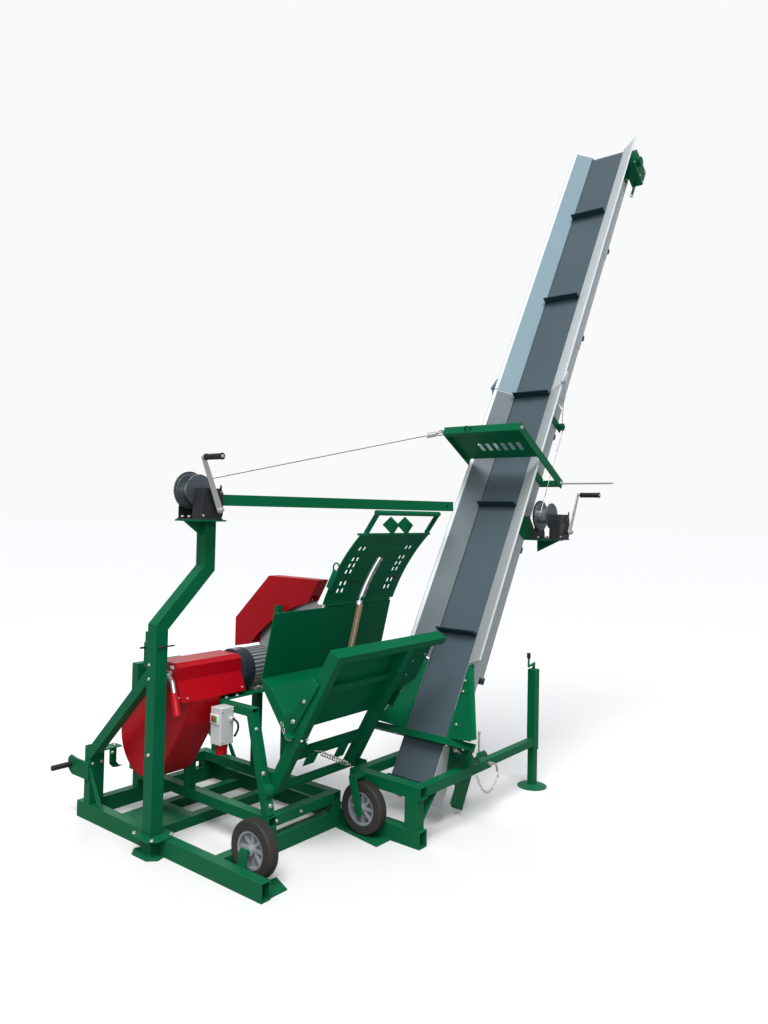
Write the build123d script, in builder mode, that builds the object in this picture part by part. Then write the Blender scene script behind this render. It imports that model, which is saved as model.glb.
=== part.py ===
from build123d import *
from math import atan2, cos, degrees, hypot, radians, sin, tan
import os

# A three-point mounted firewood saw: a rocker trough carries the log into a circular saw, and a
# folding belt conveyor takes the cut pieces away. Lengths are in millimetres, +Z is up.
# The origin is on the floor under the front end of the left skid. X runs along the saw shaft
# towards the conveyor, and Y runs from the operator's side at the front to the tractor behind.

os.makedirs("parts", exist_ok=True)

# Tube stock and sheet
TUBE = 50.0
TUBE_WALL = 4.0
SKID_HIGH = 80.0
SHEET = 3.0
PLATE = 8.0

# Ground frame
SKID_LENGTH = 1395.0
RIGHT_SKID_X = 839.0
RIGHT_SKID_WIDE = 60.0
RIGHT_FRONT_Y = -179.0
FRONT_CROSS_Y = 326.0
PLATE_CROSS_Y = 867.0
MID_CROSS_Y = 1110.0
BACK_CROSS_Y = 1355.0
LOW_CROSS_HIGH = 50.0
FOOT_THICK = 6.0

# Raised frame and outrigger on the right
UPRIGHT_Y = -124.0
UPRIGHT_DEEP = 72.0
RAISED_Z = 259.0
RAISED_BACK_Y = 265.0
REAR_UPRIGHT_Y = 229.0
ARM_Y = -154.0
ARM_Z = 262.0
ARM_OUTER_END_X = 1460.0
ARM_INNER = 41.0
ARM_PIN_X = 1435.0
ARM_PIN_R = 6.0
STRUT_Y = 240.0
STRUT_END_X = 1345.0
JACK_X = 1970.0
JACK_INNER = 41.4
JACK_BOTTOM_Z = 215.0
JACK_TOP_Z = 680.0
JACK_LIFT = 190.0
JACK_FOOT_R = 85.0

# Three-point hitch
TOWER_X = 15.0
TOWER_WIDE = 80.0
TOWER_Y = 1310.0
TOWER_TOP_Z = 370.0
LINK_PIN_R = 14.0
LINK_PIN_LENGTH = 105.0
LINK_PIN_Y = 1445.0
LINK_PIN_Z = 256.0
LINK_PLATE = 10.0
TOP_LINK_Z = 866.0
TOP_LINK_HOLE_R = 12.75
TOP_LINK_GAP = 54.0

# Winch post and jib
POST = 65.0
POST_X = -38.0
POST_Y = 727.0
POST_BEND_LOW_Z = 1040.0
POST_TOP_X = 225.0
POST_BEND_HIGH_Z = 1303.0
POST_TOP_Z = 1539.0
JIB = 55.0
JIB_END = (1600.0, 210.0)
JIB_Z = 1637.0
JIB_PLATE = 12.0
JIB_HOLE_R = 8.0

# Hand winches: both are of one pattern, named from the base up
WINCH_AXIS = (-10.0, 141.0)
WINCH_HUB = (45.0, 48.0)
WINCH_DEEP = 165.0
WINCH_CORE_R = 38.0
ROPE_R = 3.0
HOIST_WINCH_AT = (165.0, 787.0, 1539.0)
HOIST_CRANK_END = (-61.0, 297.0)
FOLD_WINCH_AT = (2071.0, -125.0, 1452.0)
FOLD_CRANK_END = (157.0, 273.0)

# Saw stand, shaft, blade and drive
STAND_X = 315.0
STAND_RIGHT_X = 760.0
STAND_Z = 150.0
TABLE_Z = 660.0
TABLE_FRONT_Y = 650.0
TABLE_BACK_Y = 935.0
TABLE_RIGHT_X = 930.0
SHAFT_Y = 780.0
SHAFT_Z = 765.0
SHAFT_R = 20.0
BLADE_X = 955.0
BLADE_R = 350.0
BLADE_THICK = 4.0
BLADE_TEETH = 56
MOTOR_R = 105.0
MOTOR_X = 452.0
MOTOR_LENGTH = 240.0
COVER_X = 95.0
COVER_WIDE = 190.0
COVER_Y = 1005.0
COVER_Z = 455.0
COVER_R = 205.0
BOX_X = 60.0
BOX_WIDE = 385.0
GUARD_WIDE = 80.0

# Rocker
PIVOT_Y = 345.0
PIVOT_Z = 280.0
PIVOT_SHAFT_R = 14.0
PIVOT_TUBE_R = 22.0
RUNNING_GAP = 0.5
ROCKER_LEFT_X = 340.0
ROCKER_ARM = 50.0
ROCKER_DEEP = 60.0
ROCKER_RIGHT_X = 925.0
ROCKER_BOARD_END_X = 1180.0
PANEL_END_X = 1222.0
TROUGH_END_X = 1100.0
BOARD_LEAN = 29.3
BOARD_TOP = 782.0
BLADE_SLOT = 24.0
PANEL_SHEET = 4.0

# Clamp hood on the rocker
HINGE_Y = 352.0
HINGE_Z = 1114.0
HOOD_LEFT_X = 670.0
HOOD_RIGHT_X = 1240.0
HOOD_MID = (253.0, 1310.0)
HOOD_TIP = (112.0, 1480.0)
HOOD_SLIT = 14.0
HANDLE_R = 13.0
HANDLE_LEFT_X = 704.0
HANDLE_Y = 40.0
HANDLE_Z = 1590.0

# Conveyor: distances along the belt and across it start where the belt plane meets the floor
BELT_FOOT_X = 950.0
BELT_SLOPE = 60.13
BELT_RIGHT_Y = -64.0
BELT_LEFT_Y = 192.0
BELT_THICK = 6.0
BELT_SIDE_GAP = 3.0
DRUM_R = 60.0
TAIL_DRUM_AT = 235.0
HEAD_DRUM_AT = 5050.0
CLEAT_PITCH = 834.0
CLEAT_FIRST = 1070.0
CLEAT_HIGH = 50.0
WALL_DEEP = 138.0
UPPER_WALL_DEEP = 132.0
FLARE_OUT = 117.0
FLARE_UP = 80.0
FLARE_FROM = 5.0
BOARD_START = 900.0
HOPPER_START = 490.0
FOLD_AT = 2750.0
FOLD_ACROSS = 101.0
FOLD_GAP = 6.0
TILT_X = 1300.0
TILT_Z = 320.0
TILT_PIN_R = 12.0
TAIL_PLATE = 8.0
YOKE_AT = 2185.0
YOKE_TOP = 410.0
YOKE_BOTTOM = -215.0
YOKE_SIDE_GAP = 6.0
PULLEY_AT = 2616.0
PULLEY_ACROSS = -192.0

# Wheels
WHEEL_R = 127.0
WHEEL_WIDE = 56.0
RIM_R = 82.0
AXLE_R = 10.0
WHEEL_Z = 134.0
WHEEL_ONE = (94.0, 178.0)
WHEEL_TWO = (772.0, 135.0)


def run(start, end, across, deep, wall=0.0, side=(1, 0, 0), mode=Mode.ADD):
    """A straight bar or tube from start to end; its width `across` is measured along `side`."""
    first, last = Vector(*start), Vector(*end)
    line = last - first
    with BuildSketch(Plane(origin=first, x_dir=Vector(*side), z_dir=line)) as section:
        Rectangle(across, deep)
        if wall:
            Rectangle(across - 2 * wall, deep - 2 * wall, mode=Mode.SUBTRACT)
    extrude(section.sketch, amount=line.length, mode=mode)


def rod(start, end, radius, bore=0.0, mode=Mode.ADD):
    """A round bar or pipe from start to end."""
    first, last = Vector(*start), Vector(*end)
    line = last - first
    with BuildSketch(Plane(origin=first, z_dir=line)) as section:
        Circle(radius)
        if bore:
            Circle(bore, mode=Mode.SUBTRACT)
    extrude(section.sketch, amount=line.length, mode=mode)


def slab(plane, corners, thick, mode=Mode.ADD):
    """A flat plate with straight edges, drawn on a plane and thickened along its normal."""
    with BuildSketch(plane) as outline:
        Polygon(*corners)
    extrude(outline.sketch, amount=thick, mode=mode)


def block(low, high, mode=Mode.ADD):
    """A box between two opposite corners."""
    with BuildSketch(Plane.XY.offset(low[2])) as outline:
        with Locations(((low[0] + high[0]) / 2, (low[1] + high[1]) / 2)):
            Rectangle(high[0] - low[0], high[1] - low[1])
    extrude(outline.sketch, amount=high[2] - low[2], mode=mode)


def strip(points, thick):
    """The outline of a bent sheet: the given bend line and its mitred copy on the left."""
    shifted = []
    for index, (u, v) in enumerate(points):
        before = points[max(index - 1, 0)]
        after = points[min(index + 1, len(points) - 1)]
        turns = []
        for a, b in ((before, (u, v)), ((u, v), after)):
            length = hypot(b[0] - a[0], b[1] - a[1])
            if length:
                turns.append((-(b[1] - a[1]) / length, (b[0] - a[0]) / length))
        normal = (sum(t[0] for t in turns), sum(t[1] for t in turns))
        square = normal[0] ** 2 + normal[1] ** 2
        scale = len(turns) * thick / square
        shifted.append((u + normal[0] * scale, v + normal[1] * scale))
    return list(points) + shifted[::-1]


def side_view(x):
    """The Y and Z plane at a station x; a positive thickness runs along +X."""
    return Plane(origin=(x, 0, 0), x_dir=(0, 1, 0), z_dir=(1, 0, 0))


def front_view(y):
    """The X and Z plane at a station y; a positive thickness runs towards the operator."""
    return Plane(origin=(0, y, 0), x_dir=(1, 0, 0), z_dir=(0, -1, 0))


# The conveyor's own directions
SLOPE_COS, SLOPE_SIN = cos(radians(BELT_SLOPE)), sin(radians(BELT_SLOPE))
ALONG = Vector(SLOPE_COS, 0, SLOPE_SIN)
ACROSS = Vector(-SLOPE_SIN, 0, SLOPE_COS)


def belt_point(along, y, across):
    """World coordinates of a point given along the belt, sideways and above the belt."""
    point = Vector(BELT_FOOT_X, y, 0) + ALONG * along + ACROSS * across
    return (point.X, point.Y, point.Z)


def belt_place(x, z):
    """Distances along and above the belt of a world point given by its x and z."""
    away = Vector(x - BELT_FOOT_X, 0, z)
    return away.dot(ALONG), away.dot(ACROSS)


def belt_side(y):
    """Side view of the conveyor at station y: distances along and above the belt."""
    return Plane(origin=(BELT_FOOT_X, y, 0), x_dir=ALONG, z_dir=(0, -1, 0))


def belt_section(along):
    """Cross-section of the conveyor: y and height above the belt; thickness runs up the belt."""
    return Plane(origin=belt_point(along, 0, 0), x_dir=(0, 1, 0), z_dir=ALONG)


def belt_block(along, y, across, mode=Mode.ADD):
    """A box given by its ranges along the belt, sideways and above the belt."""
    corners = [(along[0], across[0]), (along[1], across[0]), (along[1], across[1]), (along[0], across[1])]
    slab(belt_side(y[1]), corners, y[1] - y[0], mode=mode)


def finish(piece, name):
    """Label a finished piece and write it to its own file."""
    piece.part.label = name
    export_step(piece.part, f"parts/{name}.step")


# Ground frame: two skids, four cross tubes, a floor plate and the feet
skid_z = SKID_HIGH / 2
left_face = TUBE / 2
right_face = RIGHT_SKID_X - RIGHT_SKID_WIDE / 2
with BuildPart() as ground_frame:
    run((0, 0, skid_z), (0, SKID_LENGTH, skid_z), TUBE, SKID_HIGH, TUBE_WALL)
    run((RIGHT_SKID_X, RIGHT_FRONT_Y, skid_z), (RIGHT_SKID_X, SKID_LENGTH, skid_z),
        RIGHT_SKID_WIDE, SKID_HIGH, TUBE_WALL)
    cross_tubes = (  # y, height of the tube
        (FRONT_CROSS_Y, SKID_HIGH),
        (PLATE_CROSS_Y, LOW_CROSS_HIGH),
        (MID_CROSS_Y, LOW_CROSS_HIGH),
        (BACK_CROSS_Y, SKID_HIGH),
    )
    for y, high in cross_tubes:
        run((left_face, y, high / 2), (right_face, y, high / 2), TUBE, high, TUBE_WALL, side=(0, 1, 0))
    block((left_face, PLATE_CROSS_Y + TUBE / 2, LOW_CROSS_HIGH - 4),
          (STAND_X, MID_CROSS_Y - TUBE / 2, LOW_CROSS_HIGH))
    slab(Plane.XY, [(left_face, 8), (128, 8), (172, 120), (left_face, 120)], FOOT_THICK)
    slab(Plane.XY, [(right_face, -5), (703, -5), (758, 353), (right_face, 353)], FOOT_THICK)
    stub_top = STAND_Z - TUBE / 2
    for x in (STAND_X, STAND_RIGHT_X):
        for y in (FRONT_CROSS_Y, BACK_CROSS_Y):
            run((x, y, SKID_HIGH), (x, y, stub_top), TUBE, TUBE, TUBE_WALL)
finish(ground_frame, "ground_frame")

# Raised frame on the right: two uprights, a top tube, the outer arm with its gusset strap, and an
# ear with a tilt pin for the conveyor on the arm and on the strut
raised_bottom = RAISED_Z - RIGHT_SKID_WIDE / 2
raised_right = RIGHT_SKID_X + RIGHT_SKID_WIDE / 2
ear_near = ARM_Y + TUBE / 2
ear_far = STRUT_Y - TUBE / 2
ear_foot = ARM_Z + TUBE / 2
with BuildPart() as raised_frame:
    run((RIGHT_SKID_X, RIGHT_FRONT_Y, RAISED_Z), (RIGHT_SKID_X, RAISED_BACK_Y, RAISED_Z),
        RIGHT_SKID_WIDE, RIGHT_SKID_WIDE, TUBE_WALL)
    for y in (UPRIGHT_Y, REAR_UPRIGHT_Y):
        run((RIGHT_SKID_X, y, SKID_HIGH), (RIGHT_SKID_X, y, raised_bottom),
            RIGHT_SKID_WIDE, UPRIGHT_DEEP, TUBE_WALL)
    run((raised_right, ARM_Y, ARM_Z), (ARM_OUTER_END_X, ARM_Y, ARM_Z), TUBE, TUBE, TUBE_WALL, side=(0, 1, 0))
    run((raised_right, STRUT_Y, ARM_Z), (STRUT_END_X, STRUT_Y, ARM_Z), TUBE, TUBE, TUBE_WALL, side=(0, 1, 0))
    strap = [(raised_right, 118), (905, 160), (985, ARM_Z - TUBE / 2)]
    slab(front_view(UPRIGHT_Y + 12), strip(strap, PLATE), TUBE)
    rod((ARM_PIN_X, ARM_Y - TUBE, ARM_Z), (ARM_PIN_X, ARM_Y + TUBE, ARM_Z), ARM_PIN_R + RUNNING_GAP / 2,
        mode=Mode.SUBTRACT)
    for y_face, y_pin, pin_end in (
        (ear_near, ear_near, BELT_RIGHT_Y - SHEET - 1),
        (ear_far + LINK_PLATE, ear_far, BELT_LEFT_Y + SHEET + 1),
    ):
        with BuildSketch(front_view(y_face)) as ear:
            with Locations((TILT_X, ear_foot + 15)):
                Rectangle(80, 30)
            with Locations((TILT_X, TILT_Z)):
                Circle(32)
            with Locations((TILT_X, ear_foot - 20)):
                Rectangle(120, 40, mode=Mode.SUBTRACT)
        extrude(ear.sketch, amount=LINK_PLATE)
        rod((TILT_X, y_pin, TILT_Z), (TILT_X, pin_end, TILT_Z), TILT_PIN_R)
finish(raised_frame, "raised_frame")

# Locking pin of the telescoping arm
with BuildPart() as arm_pin:
    rod((ARM_PIN_X, ARM_Y - TUBE / 2 - 12, ARM_Z), (ARM_PIN_X, ARM_Y + TUBE / 2 + 14, ARM_Z), ARM_PIN_R)
    rod((ARM_PIN_X, ARM_Y - TUBE / 2 - 14, ARM_Z), (ARM_PIN_X, ARM_Y - TUBE / 2, ARM_Z), ARM_PIN_R + 5)
finish(arm_pin, "arm_pin")

# Sliding arm with the jack's outer tube and its crank, and the leg with a round foot that slides in it
crank_z = JACK_TOP_Z + 40
with BuildPart() as jack_arm:
    run((1300, ARM_Y, ARM_Z), (JACK_X - TUBE / 2, ARM_Y, ARM_Z), ARM_INNER, ARM_INNER, 3.5, side=(0, 1, 0))
    rod((ARM_PIN_X, ARM_Y - TUBE, ARM_Z), (ARM_PIN_X, ARM_Y + TUBE, ARM_Z), ARM_PIN_R + RUNNING_GAP / 2,
        mode=Mode.SUBTRACT)
    run((JACK_X, ARM_Y, JACK_BOTTOM_Z), (JACK_X, ARM_Y, JACK_TOP_Z), TUBE, TUBE, TUBE_WALL)
    block((JACK_X - TUBE / 2, ARM_Y - TUBE / 2, JACK_TOP_Z), (JACK_X + TUBE / 2, ARM_Y + TUBE / 2, JACK_TOP_Z + 6))
    rod((JACK_X, ARM_Y, JACK_TOP_Z + 6), (JACK_X, ARM_Y, crank_z), 9)
    rod((JACK_X + 12, ARM_Y, crank_z), (JACK_X - 62, ARM_Y, crank_z - 12), 6)
    rod((JACK_X - 62, ARM_Y, crank_z - 16), (JACK_X - 62, ARM_Y, crank_z + 55), 6)
    rod((JACK_X - 62, ARM_Y, crank_z + 40), (JACK_X - 62, ARM_Y, crank_z + 66), 9)
finish(jack_arm, "jack_arm")

with BuildPart() as jack_leg:
    leg_top = JACK_TOP_Z - JACK_LIFT - 10
    run((JACK_X, ARM_Y, 12), (JACK_X, ARM_Y, leg_top), JACK_INNER, JACK_INNER, TUBE_WALL)
    with BuildSketch(Plane(origin=(JACK_X, ARM_Y, 0), x_dir=(1, 0, 0), z_dir=(0, -1, 0))) as foot_half:
        Polygon((0, 0), (JACK_FOOT_R, 0), (JACK_FOOT_R, 4), (JACK_FOOT_R - 20, 5), (34, 14), (0, 14))
    revolve(foot_half.sketch, axis=Axis((JACK_X, ARM_Y, 0), (0, 0, 1)))
finish(jack_leg, "jack_leg")

# Hitch towers with the lower link pins, and the brace to the winch post
tower_right_x = RIGHT_SKID_X + TUBE / 2 + 5 - TOWER_WIDE / 2
tower_front = TOWER_Y - TUBE / 2
with BuildPart() as hitch_towers:
    for x in (TOWER_X, tower_right_x):
        run((x, TOWER_Y, SKID_HIGH), (x, TOWER_Y, TOWER_TOP_Z), TOWER_WIDE, TUBE, TUBE_WALL)
    plate_outline = [(tower_front, 205), (1440, 205), (1478, 232), (1478, 280), (1455, 300),
                     (1400, 292), (tower_front, 292)]
    left_outer = TOWER_X - TOWER_WIDE / 2
    right_outer = tower_right_x + TOWER_WIDE / 2
    slab(side_view(left_outer - LINK_PLATE), plate_outline, LINK_PLATE)
    slab(side_view(right_outer), plate_outline, LINK_PLATE)
    for x_face in (left_outer, right_outer - PLATE):
        slab(side_view(x_face), [(tower_front, 262), (1165, SKID_HIGH), (1205, SKID_HIGH), (tower_front, 226)], PLATE)
finish(hitch_towers, "hitch_towers")

with BuildPart() as link_pins:
    for face, out in ((left_outer - LINK_PLATE, -1), (right_outer + LINK_PLATE, 1)):
        rod((face, LINK_PIN_Y, LINK_PIN_Z), (face + out * LINK_PIN_LENGTH, LINK_PIN_Y, LINK_PIN_Z), LINK_PIN_R)
finish(link_pins, "link_pins")

mast_x = (left_outer + right_outer) / 2
mast_foot = STAND_Z + TUBE / 2
with BuildPart() as top_link_mast:
    for side in (-1, 1):
        foot_x = mast_x + side * 130
        run((foot_x, BACK_CROSS_Y, mast_foot), (foot_x, BACK_CROSS_Y, TOP_LINK_Z - 120), TUBE, TUBE, TUBE_WALL)
        cheek_x = mast_x + side * (TOP_LINK_GAP / 2 + LINK_PLATE / 2)
        slab(side_view(cheek_x - LINK_PLATE / 2),
             [(BACK_CROSS_Y - 25, TOP_LINK_Z - 120), (BACK_CROSS_Y + 25, TOP_LINK_Z - 120),
              (BACK_CROSS_Y + 85, TOP_LINK_Z - 25), (BACK_CROSS_Y + 85, TOP_LINK_Z + 30),
              (BACK_CROSS_Y + 25, TOP_LINK_Z + 30)], LINK_PLATE)
    run((mast_x - 155, BACK_CROSS_Y, TOP_LINK_Z - 145), (mast_x + 155, BACK_CROSS_Y, TOP_LINK_Z - 145),
        TUBE, TUBE, TUBE_WALL, side=(0, 1, 0))
    rod((mast_x - 60, BACK_CROSS_Y + 55, TOP_LINK_Z), (mast_x + 60, BACK_CROSS_Y + 55, TOP_LINK_Z),
        TOP_LINK_HOLE_R, mode=Mode.SUBTRACT)
finish(top_link_mast, "top_link_mast")

# Winch post: a square tube with two bends, clamped over the left skid by two plates
half_post = POST / 2
with BuildPart() as winch_post:
    with BuildLine() as post_path:
        Polyline((POST_X, POST_Y, SKID_HIGH + PLATE), (POST_X, POST_Y, POST_BEND_LOW_Z),
                 (POST_TOP_X, POST_Y, POST_BEND_HIGH_Z), (POST_TOP_X, POST_Y, POST_TOP_Z))
    with BuildSketch(Plane.XY.offset(SKID_HIGH + PLATE)) as post_section:
        with Locations((POST_X, POST_Y)):
            Rectangle(POST, POST)
            Rectangle(POST - 2 * TUBE_WALL, POST - 2 * TUBE_WALL, mode=Mode.SUBTRACT)
    sweep(post_section.sketch, path=post_path.line, transition=Transition.RIGHT)
    clamp_plate = [(-104, 675), (-66, 638), (4, 638), (42, 675), (42, 785), (4, 822), (-66, 822), (-104, 785)]
    slab(Plane.XY.offset(SKID_HIGH), clamp_plate, PLATE)
    slab(Plane.XY, [(-left_face, 652), (-66, 638), (-104, 675), (-104, 785), (-66, 822), (-left_face, 808)], PLATE)
    block((POST_X - half_post, POST_Y - half_post, PLATE), (-left_face, POST_Y + half_post, SKID_HIGH))
    run((-2, TOWER_Y + 5, TOWER_TOP_Z - 55), (POST_X + 8, POST_Y + half_post - 5, 828), TUBE, TUBE, TUBE_WALL)
    block((-60, tower_front, TOWER_TOP_Z - 130), (60, TOWER_Y + 80, TOWER_TOP_Z + 60), mode=Mode.SUBTRACT)
    block((POST_X - half_post + TUBE_WALL, POST_Y - half_post + TUBE_WALL, 700),
          (POST_X + half_post - TUBE_WALL, POST_Y + half_post - TUBE_WALL, 950), mode=Mode.SUBTRACT)
    seat_x, seat_y, seat_z = HOIST_WINCH_AT
    block((seat_x - 80, seat_y - WINCH_DEEP - 5, seat_z - PLATE), (POST_TOP_X + half_post, seat_y + 5, seat_z))
    slab(front_view(POST_Y + 5), [(POST_TOP_X - half_post, seat_z - PLATE), (seat_x - 75, seat_z - PLATE),
                                  (POST_TOP_X - half_post, seat_z - 80)], 10)
finish(winch_post, "winch_post")

# Jib: a tube under the hoist rope, on an upright plate at the post's top, with a hole near its end
jib_start = Vector(POST_TOP_X + half_post, POST_Y, JIB_Z)
jib_end = Vector(*JIB_END, JIB_Z)
jib_way = (jib_end - jib_start).normalized()
jib_side = Vector(-jib_way.Y, jib_way.X, 0)
with BuildPart() as jib:
    run(tuple(jib_start - jib_way * 6), tuple(jib_end), JIB, JIB, TUBE_WALL, side=tuple(jib_side))
    block((jib_start.X - 40, POST_Y - half_post - 20, JIB_Z - JIB), (jib_start.X, POST_Y + half_post + 20, JIB_Z + JIB),
          mode=Mode.SUBTRACT)
    block((jib_start.X - JIB_PLATE, POST_Y - half_post, POST_TOP_Z), (jib_start.X, POST_Y + half_post, JIB_Z + JIB / 2))
    hole = jib_end - jib_way * 40
    rod(tuple(hole - jib_side * JIB), tuple(hole + jib_side * JIB), JIB_HOLE_R, mode=Mode.SUBTRACT)
finish(jib, "jib")


def winch(plane, crank_end, name):
    """A hand winch: base, cheek, gear housing and drum, and a crank with its grip.

    In the plane's own directions x runs along the base, y up from it, and z towards the crank."""
    def at(spot, z):
        point = plane.from_local_coords(Vector(spot[0], spot[1], z))
        return (point.X, point.Y, point.Z)

    with BuildPart() as body:
        slab(plane, [(-75, 0), (75, 0), (75, 5), (-75, 5)], WINCH_DEEP)
        slab(plane, [(-65, 4), (65, 4), (65, 40), (12, 158), (-32, 158), (-65, 60)], 4)
        housing = [(-55, 4), (70, 4), (78, 30), (78, 130), (62, 152), (-32, 152), (-45, 120)]
        slab(plane.offset(92), housing, WINCH_DEEP - 97)
        rod(at(WINCH_AXIS, 3), at(WINCH_AXIS, 93), 10)
        rod(at(WINCH_HUB, WINCH_DEEP - 6), at(WINCH_HUB, WINCH_DEEP + 9), 13)
        for x in (-58, 58):
            for z in (24, WINCH_DEEP - 90):
                rod(at((x, 4), z), at((x, 12), z), 9)
    finish(body, f"{name}_body")
    with BuildPart() as drum:
        for low, high, radius in ((8, 16, 88), (16, 19, 80), (19, 84, WINCH_CORE_R), (84, 87, 78)):
            rod(at(WINCH_AXIS, low), at(WINCH_AXIS, high), radius, 10)
    finish(drum, f"{name}_drum")
    way_x, way_y = crank_end[0] - WINCH_HUB[0], crank_end[1] - WINCH_HUB[1]
    way = hypot(way_x, way_y)
    square_x, square_y = -way_y / way, way_x / way
    bar = [(WINCH_HUB[0] + square_x * 17, WINCH_HUB[1] + square_y * 17),
           (WINCH_HUB[0] - square_x * 17, WINCH_HUB[1] - square_y * 17),
           (crank_end[0] - square_x * 12, crank_end[1] - square_y * 12),
           (crank_end[0] + square_x * 12, crank_end[1] + square_y * 12)]
    with BuildPart() as crank:
        with BuildSketch(plane.offset(WINCH_DEEP + 9)) as arm:
            Polygon(*bar)
            with Locations(WINCH_HUB):
                Circle(17)
            with Locations(crank_end):
                Circle(12)
        extrude(arm.sketch, amount=5)
        rod(at(WINCH_HUB, WINCH_DEEP + 14), at(WINCH_HUB, WINCH_DEEP + 22), 11)
        rod(at(crank_end, WINCH_DEEP + 13), at(crank_end, WINCH_DEEP + 28), 6)
        rod(at(crank_end, WINCH_DEEP + 28), at(crank_end, WINCH_DEEP + 148), 13)
    finish(crank, f"{name}_crank")


winch(Plane(origin=HOIST_WINCH_AT, x_dir=(1, 0, 0), z_dir=(0, -1, 0)), HOIST_CRANK_END, "hoist_winch")

box_bottom = TABLE_Z + 20
leg_x = ROCKER_LEFT_X - 6 - 45 / 2

# Saw stand: a low rail frame, legs, and a table for the drive
with BuildPart() as saw_stand:
    front_y, back_y = FRONT_CROSS_Y, BACK_CROSS_Y
    rail_ends = (front_y - TUBE / 2, back_y + TUBE / 2)
    for x in (STAND_X, STAND_RIGHT_X):
        run((x, rail_ends[0], STAND_Z), (x, rail_ends[1], STAND_Z), TUBE, TUBE, TUBE_WALL)
    for y in (front_y, back_y):
        run((STAND_X + TUBE / 2, y, STAND_Z), (STAND_RIGHT_X - TUBE / 2, y, STAND_Z), TUBE, TUBE, TUBE_WALL,
            side=(0, 1, 0))
    rail_top = STAND_Z + TUBE / 2
    table_under = TABLE_Z - PLATE
    run((leg_x, front_y, rail_top), (leg_x, front_y + 126, table_under - 25), 45, 40, TUBE_WALL)
    run((leg_x, front_y + 105, table_under - 20), (leg_x, TABLE_BACK_Y, table_under - 20), 45, 40, TUBE_WALL)
    for x in (leg_x, STAND_RIGHT_X):
        run((x, TABLE_BACK_Y - 20, rail_top), (x, TABLE_BACK_Y - 20, table_under), 45, 40, TUBE_WALL)
    run((STAND_RIGHT_X, TABLE_FRONT_Y + 30, rail_top), (STAND_RIGHT_X, TABLE_FRONT_Y + 30, table_under),
        45, 40, TUBE_WALL)
    block((STAND_X - 25, TABLE_FRONT_Y, table_under), (TABLE_RIGHT_X, TABLE_BACK_Y, TABLE_Z))
    rod((leg_x - 22, PIVOT_Y, PIVOT_Z), (ROCKER_LEFT_X - 5, PIVOT_Y, PIVOT_Z), 32)
    for x in (MOTOR_X + MOTOR_LENGTH + 40, BLADE_X - 75):
        with BuildSketch(side_view(x - 20)) as bearing:
            with Locations((SHAFT_Y, SHAFT_Z)):
                Circle(48)
            with Locations((SHAFT_Y, (SHAFT_Z + TABLE_Z) / 2)):
                Rectangle(110, SHAFT_Z - TABLE_Z)
            with Locations((SHAFT_Y, SHAFT_Z)):
                Circle(SHAFT_R + RUNNING_GAP, mode=Mode.SUBTRACT)
        extrude(bearing.sketch, amount=40)
    block((STAND_X - 25, SHAFT_Y - 75, TABLE_Z), (BOX_X + BOX_WIDE - 10, SHAFT_Y + 75, box_bottom))
    guard_post_x = BLADE_X - GUARD_WIDE / 2 - 17
    run((guard_post_x, TABLE_BACK_Y - 30, TABLE_Z), (guard_post_x, TABLE_BACK_Y - 30, 1050), 34, 34, SHEET)
finish(saw_stand, "saw_stand")

# Rocker pivot: a fixed shaft from the stand's boss to a bracket on the strut
with BuildPart() as pivot_shaft:
    bracket_x = ROCKER_RIGHT_X + 10
    rod((ROCKER_LEFT_X - 5, PIVOT_Y, PIVOT_Z), (bracket_x, PIVOT_Y, PIVOT_Z), PIVOT_SHAFT_R)
    strut_back = STRUT_Y + TUBE / 2
    with BuildSketch(side_view(bracket_x)) as bracket:
        with Locations(((strut_back + PIVOT_Y) / 2, PIVOT_Z - 5)):
            Rectangle(PIVOT_Y - strut_back, 50)
        with Locations((PIVOT_Y, PIVOT_Z)):
            Circle(30)
    extrude(bracket.sketch, amount=LINK_PLATE)
finish(pivot_shaft, "pivot_shaft")

# Drive: belt cover with its round lower end, top box, motor, shaft bearings and blade guard
with BuildPart() as belt_cover:
    with BuildSketch(side_view(COVER_X)) as cover_side:
        with Locations((COVER_Y, COVER_Z)):
            Circle(COVER_R)
        Polygon((COVER_Y + COVER_R * cos(radians(35)), COVER_Z + COVER_R * sin(radians(35))),
                (COVER_Y - COVER_R * cos(radians(38)), COVER_Z - COVER_R * sin(radians(38))),
                (690, 560), (655, TABLE_Z + 20), (1010, TABLE_Z + 20))
    extrude(cover_side.sketch, amount=COVER_WIDE)
    cover_front = belt_cover.faces().filter_by(Axis.X).sort_by(Axis.X)[0]
    fillet(cover_front.edges().filter_by(GeomType.CIRCLE), radius=12)
finish(belt_cover, "belt_cover")

with BuildPart() as drive_box:
    slab(side_view(BOX_X), [(655, box_bottom), (865, box_bottom), (865, 857), (725, 857), (698, 838), (698, 775)],
         BOX_WIDE)
finish(drive_box, "drive_box")

with BuildPart() as tension_lever:
    rod((BOX_X, 745, 806), (BOX_X - 28, 745, 806), 13)
    rod((BOX_X - 18, 745, 806), (BOX_X - 40, 690, 790), 7)
    rod((BOX_X - 40, 690, 790), (BOX_X - 62, 640, 735), 9)
    rod((BOX_X - 62, 640, 735), (BOX_X - 92, 572, 655), 15)
finish(tension_lever, "tension_lever")

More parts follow.
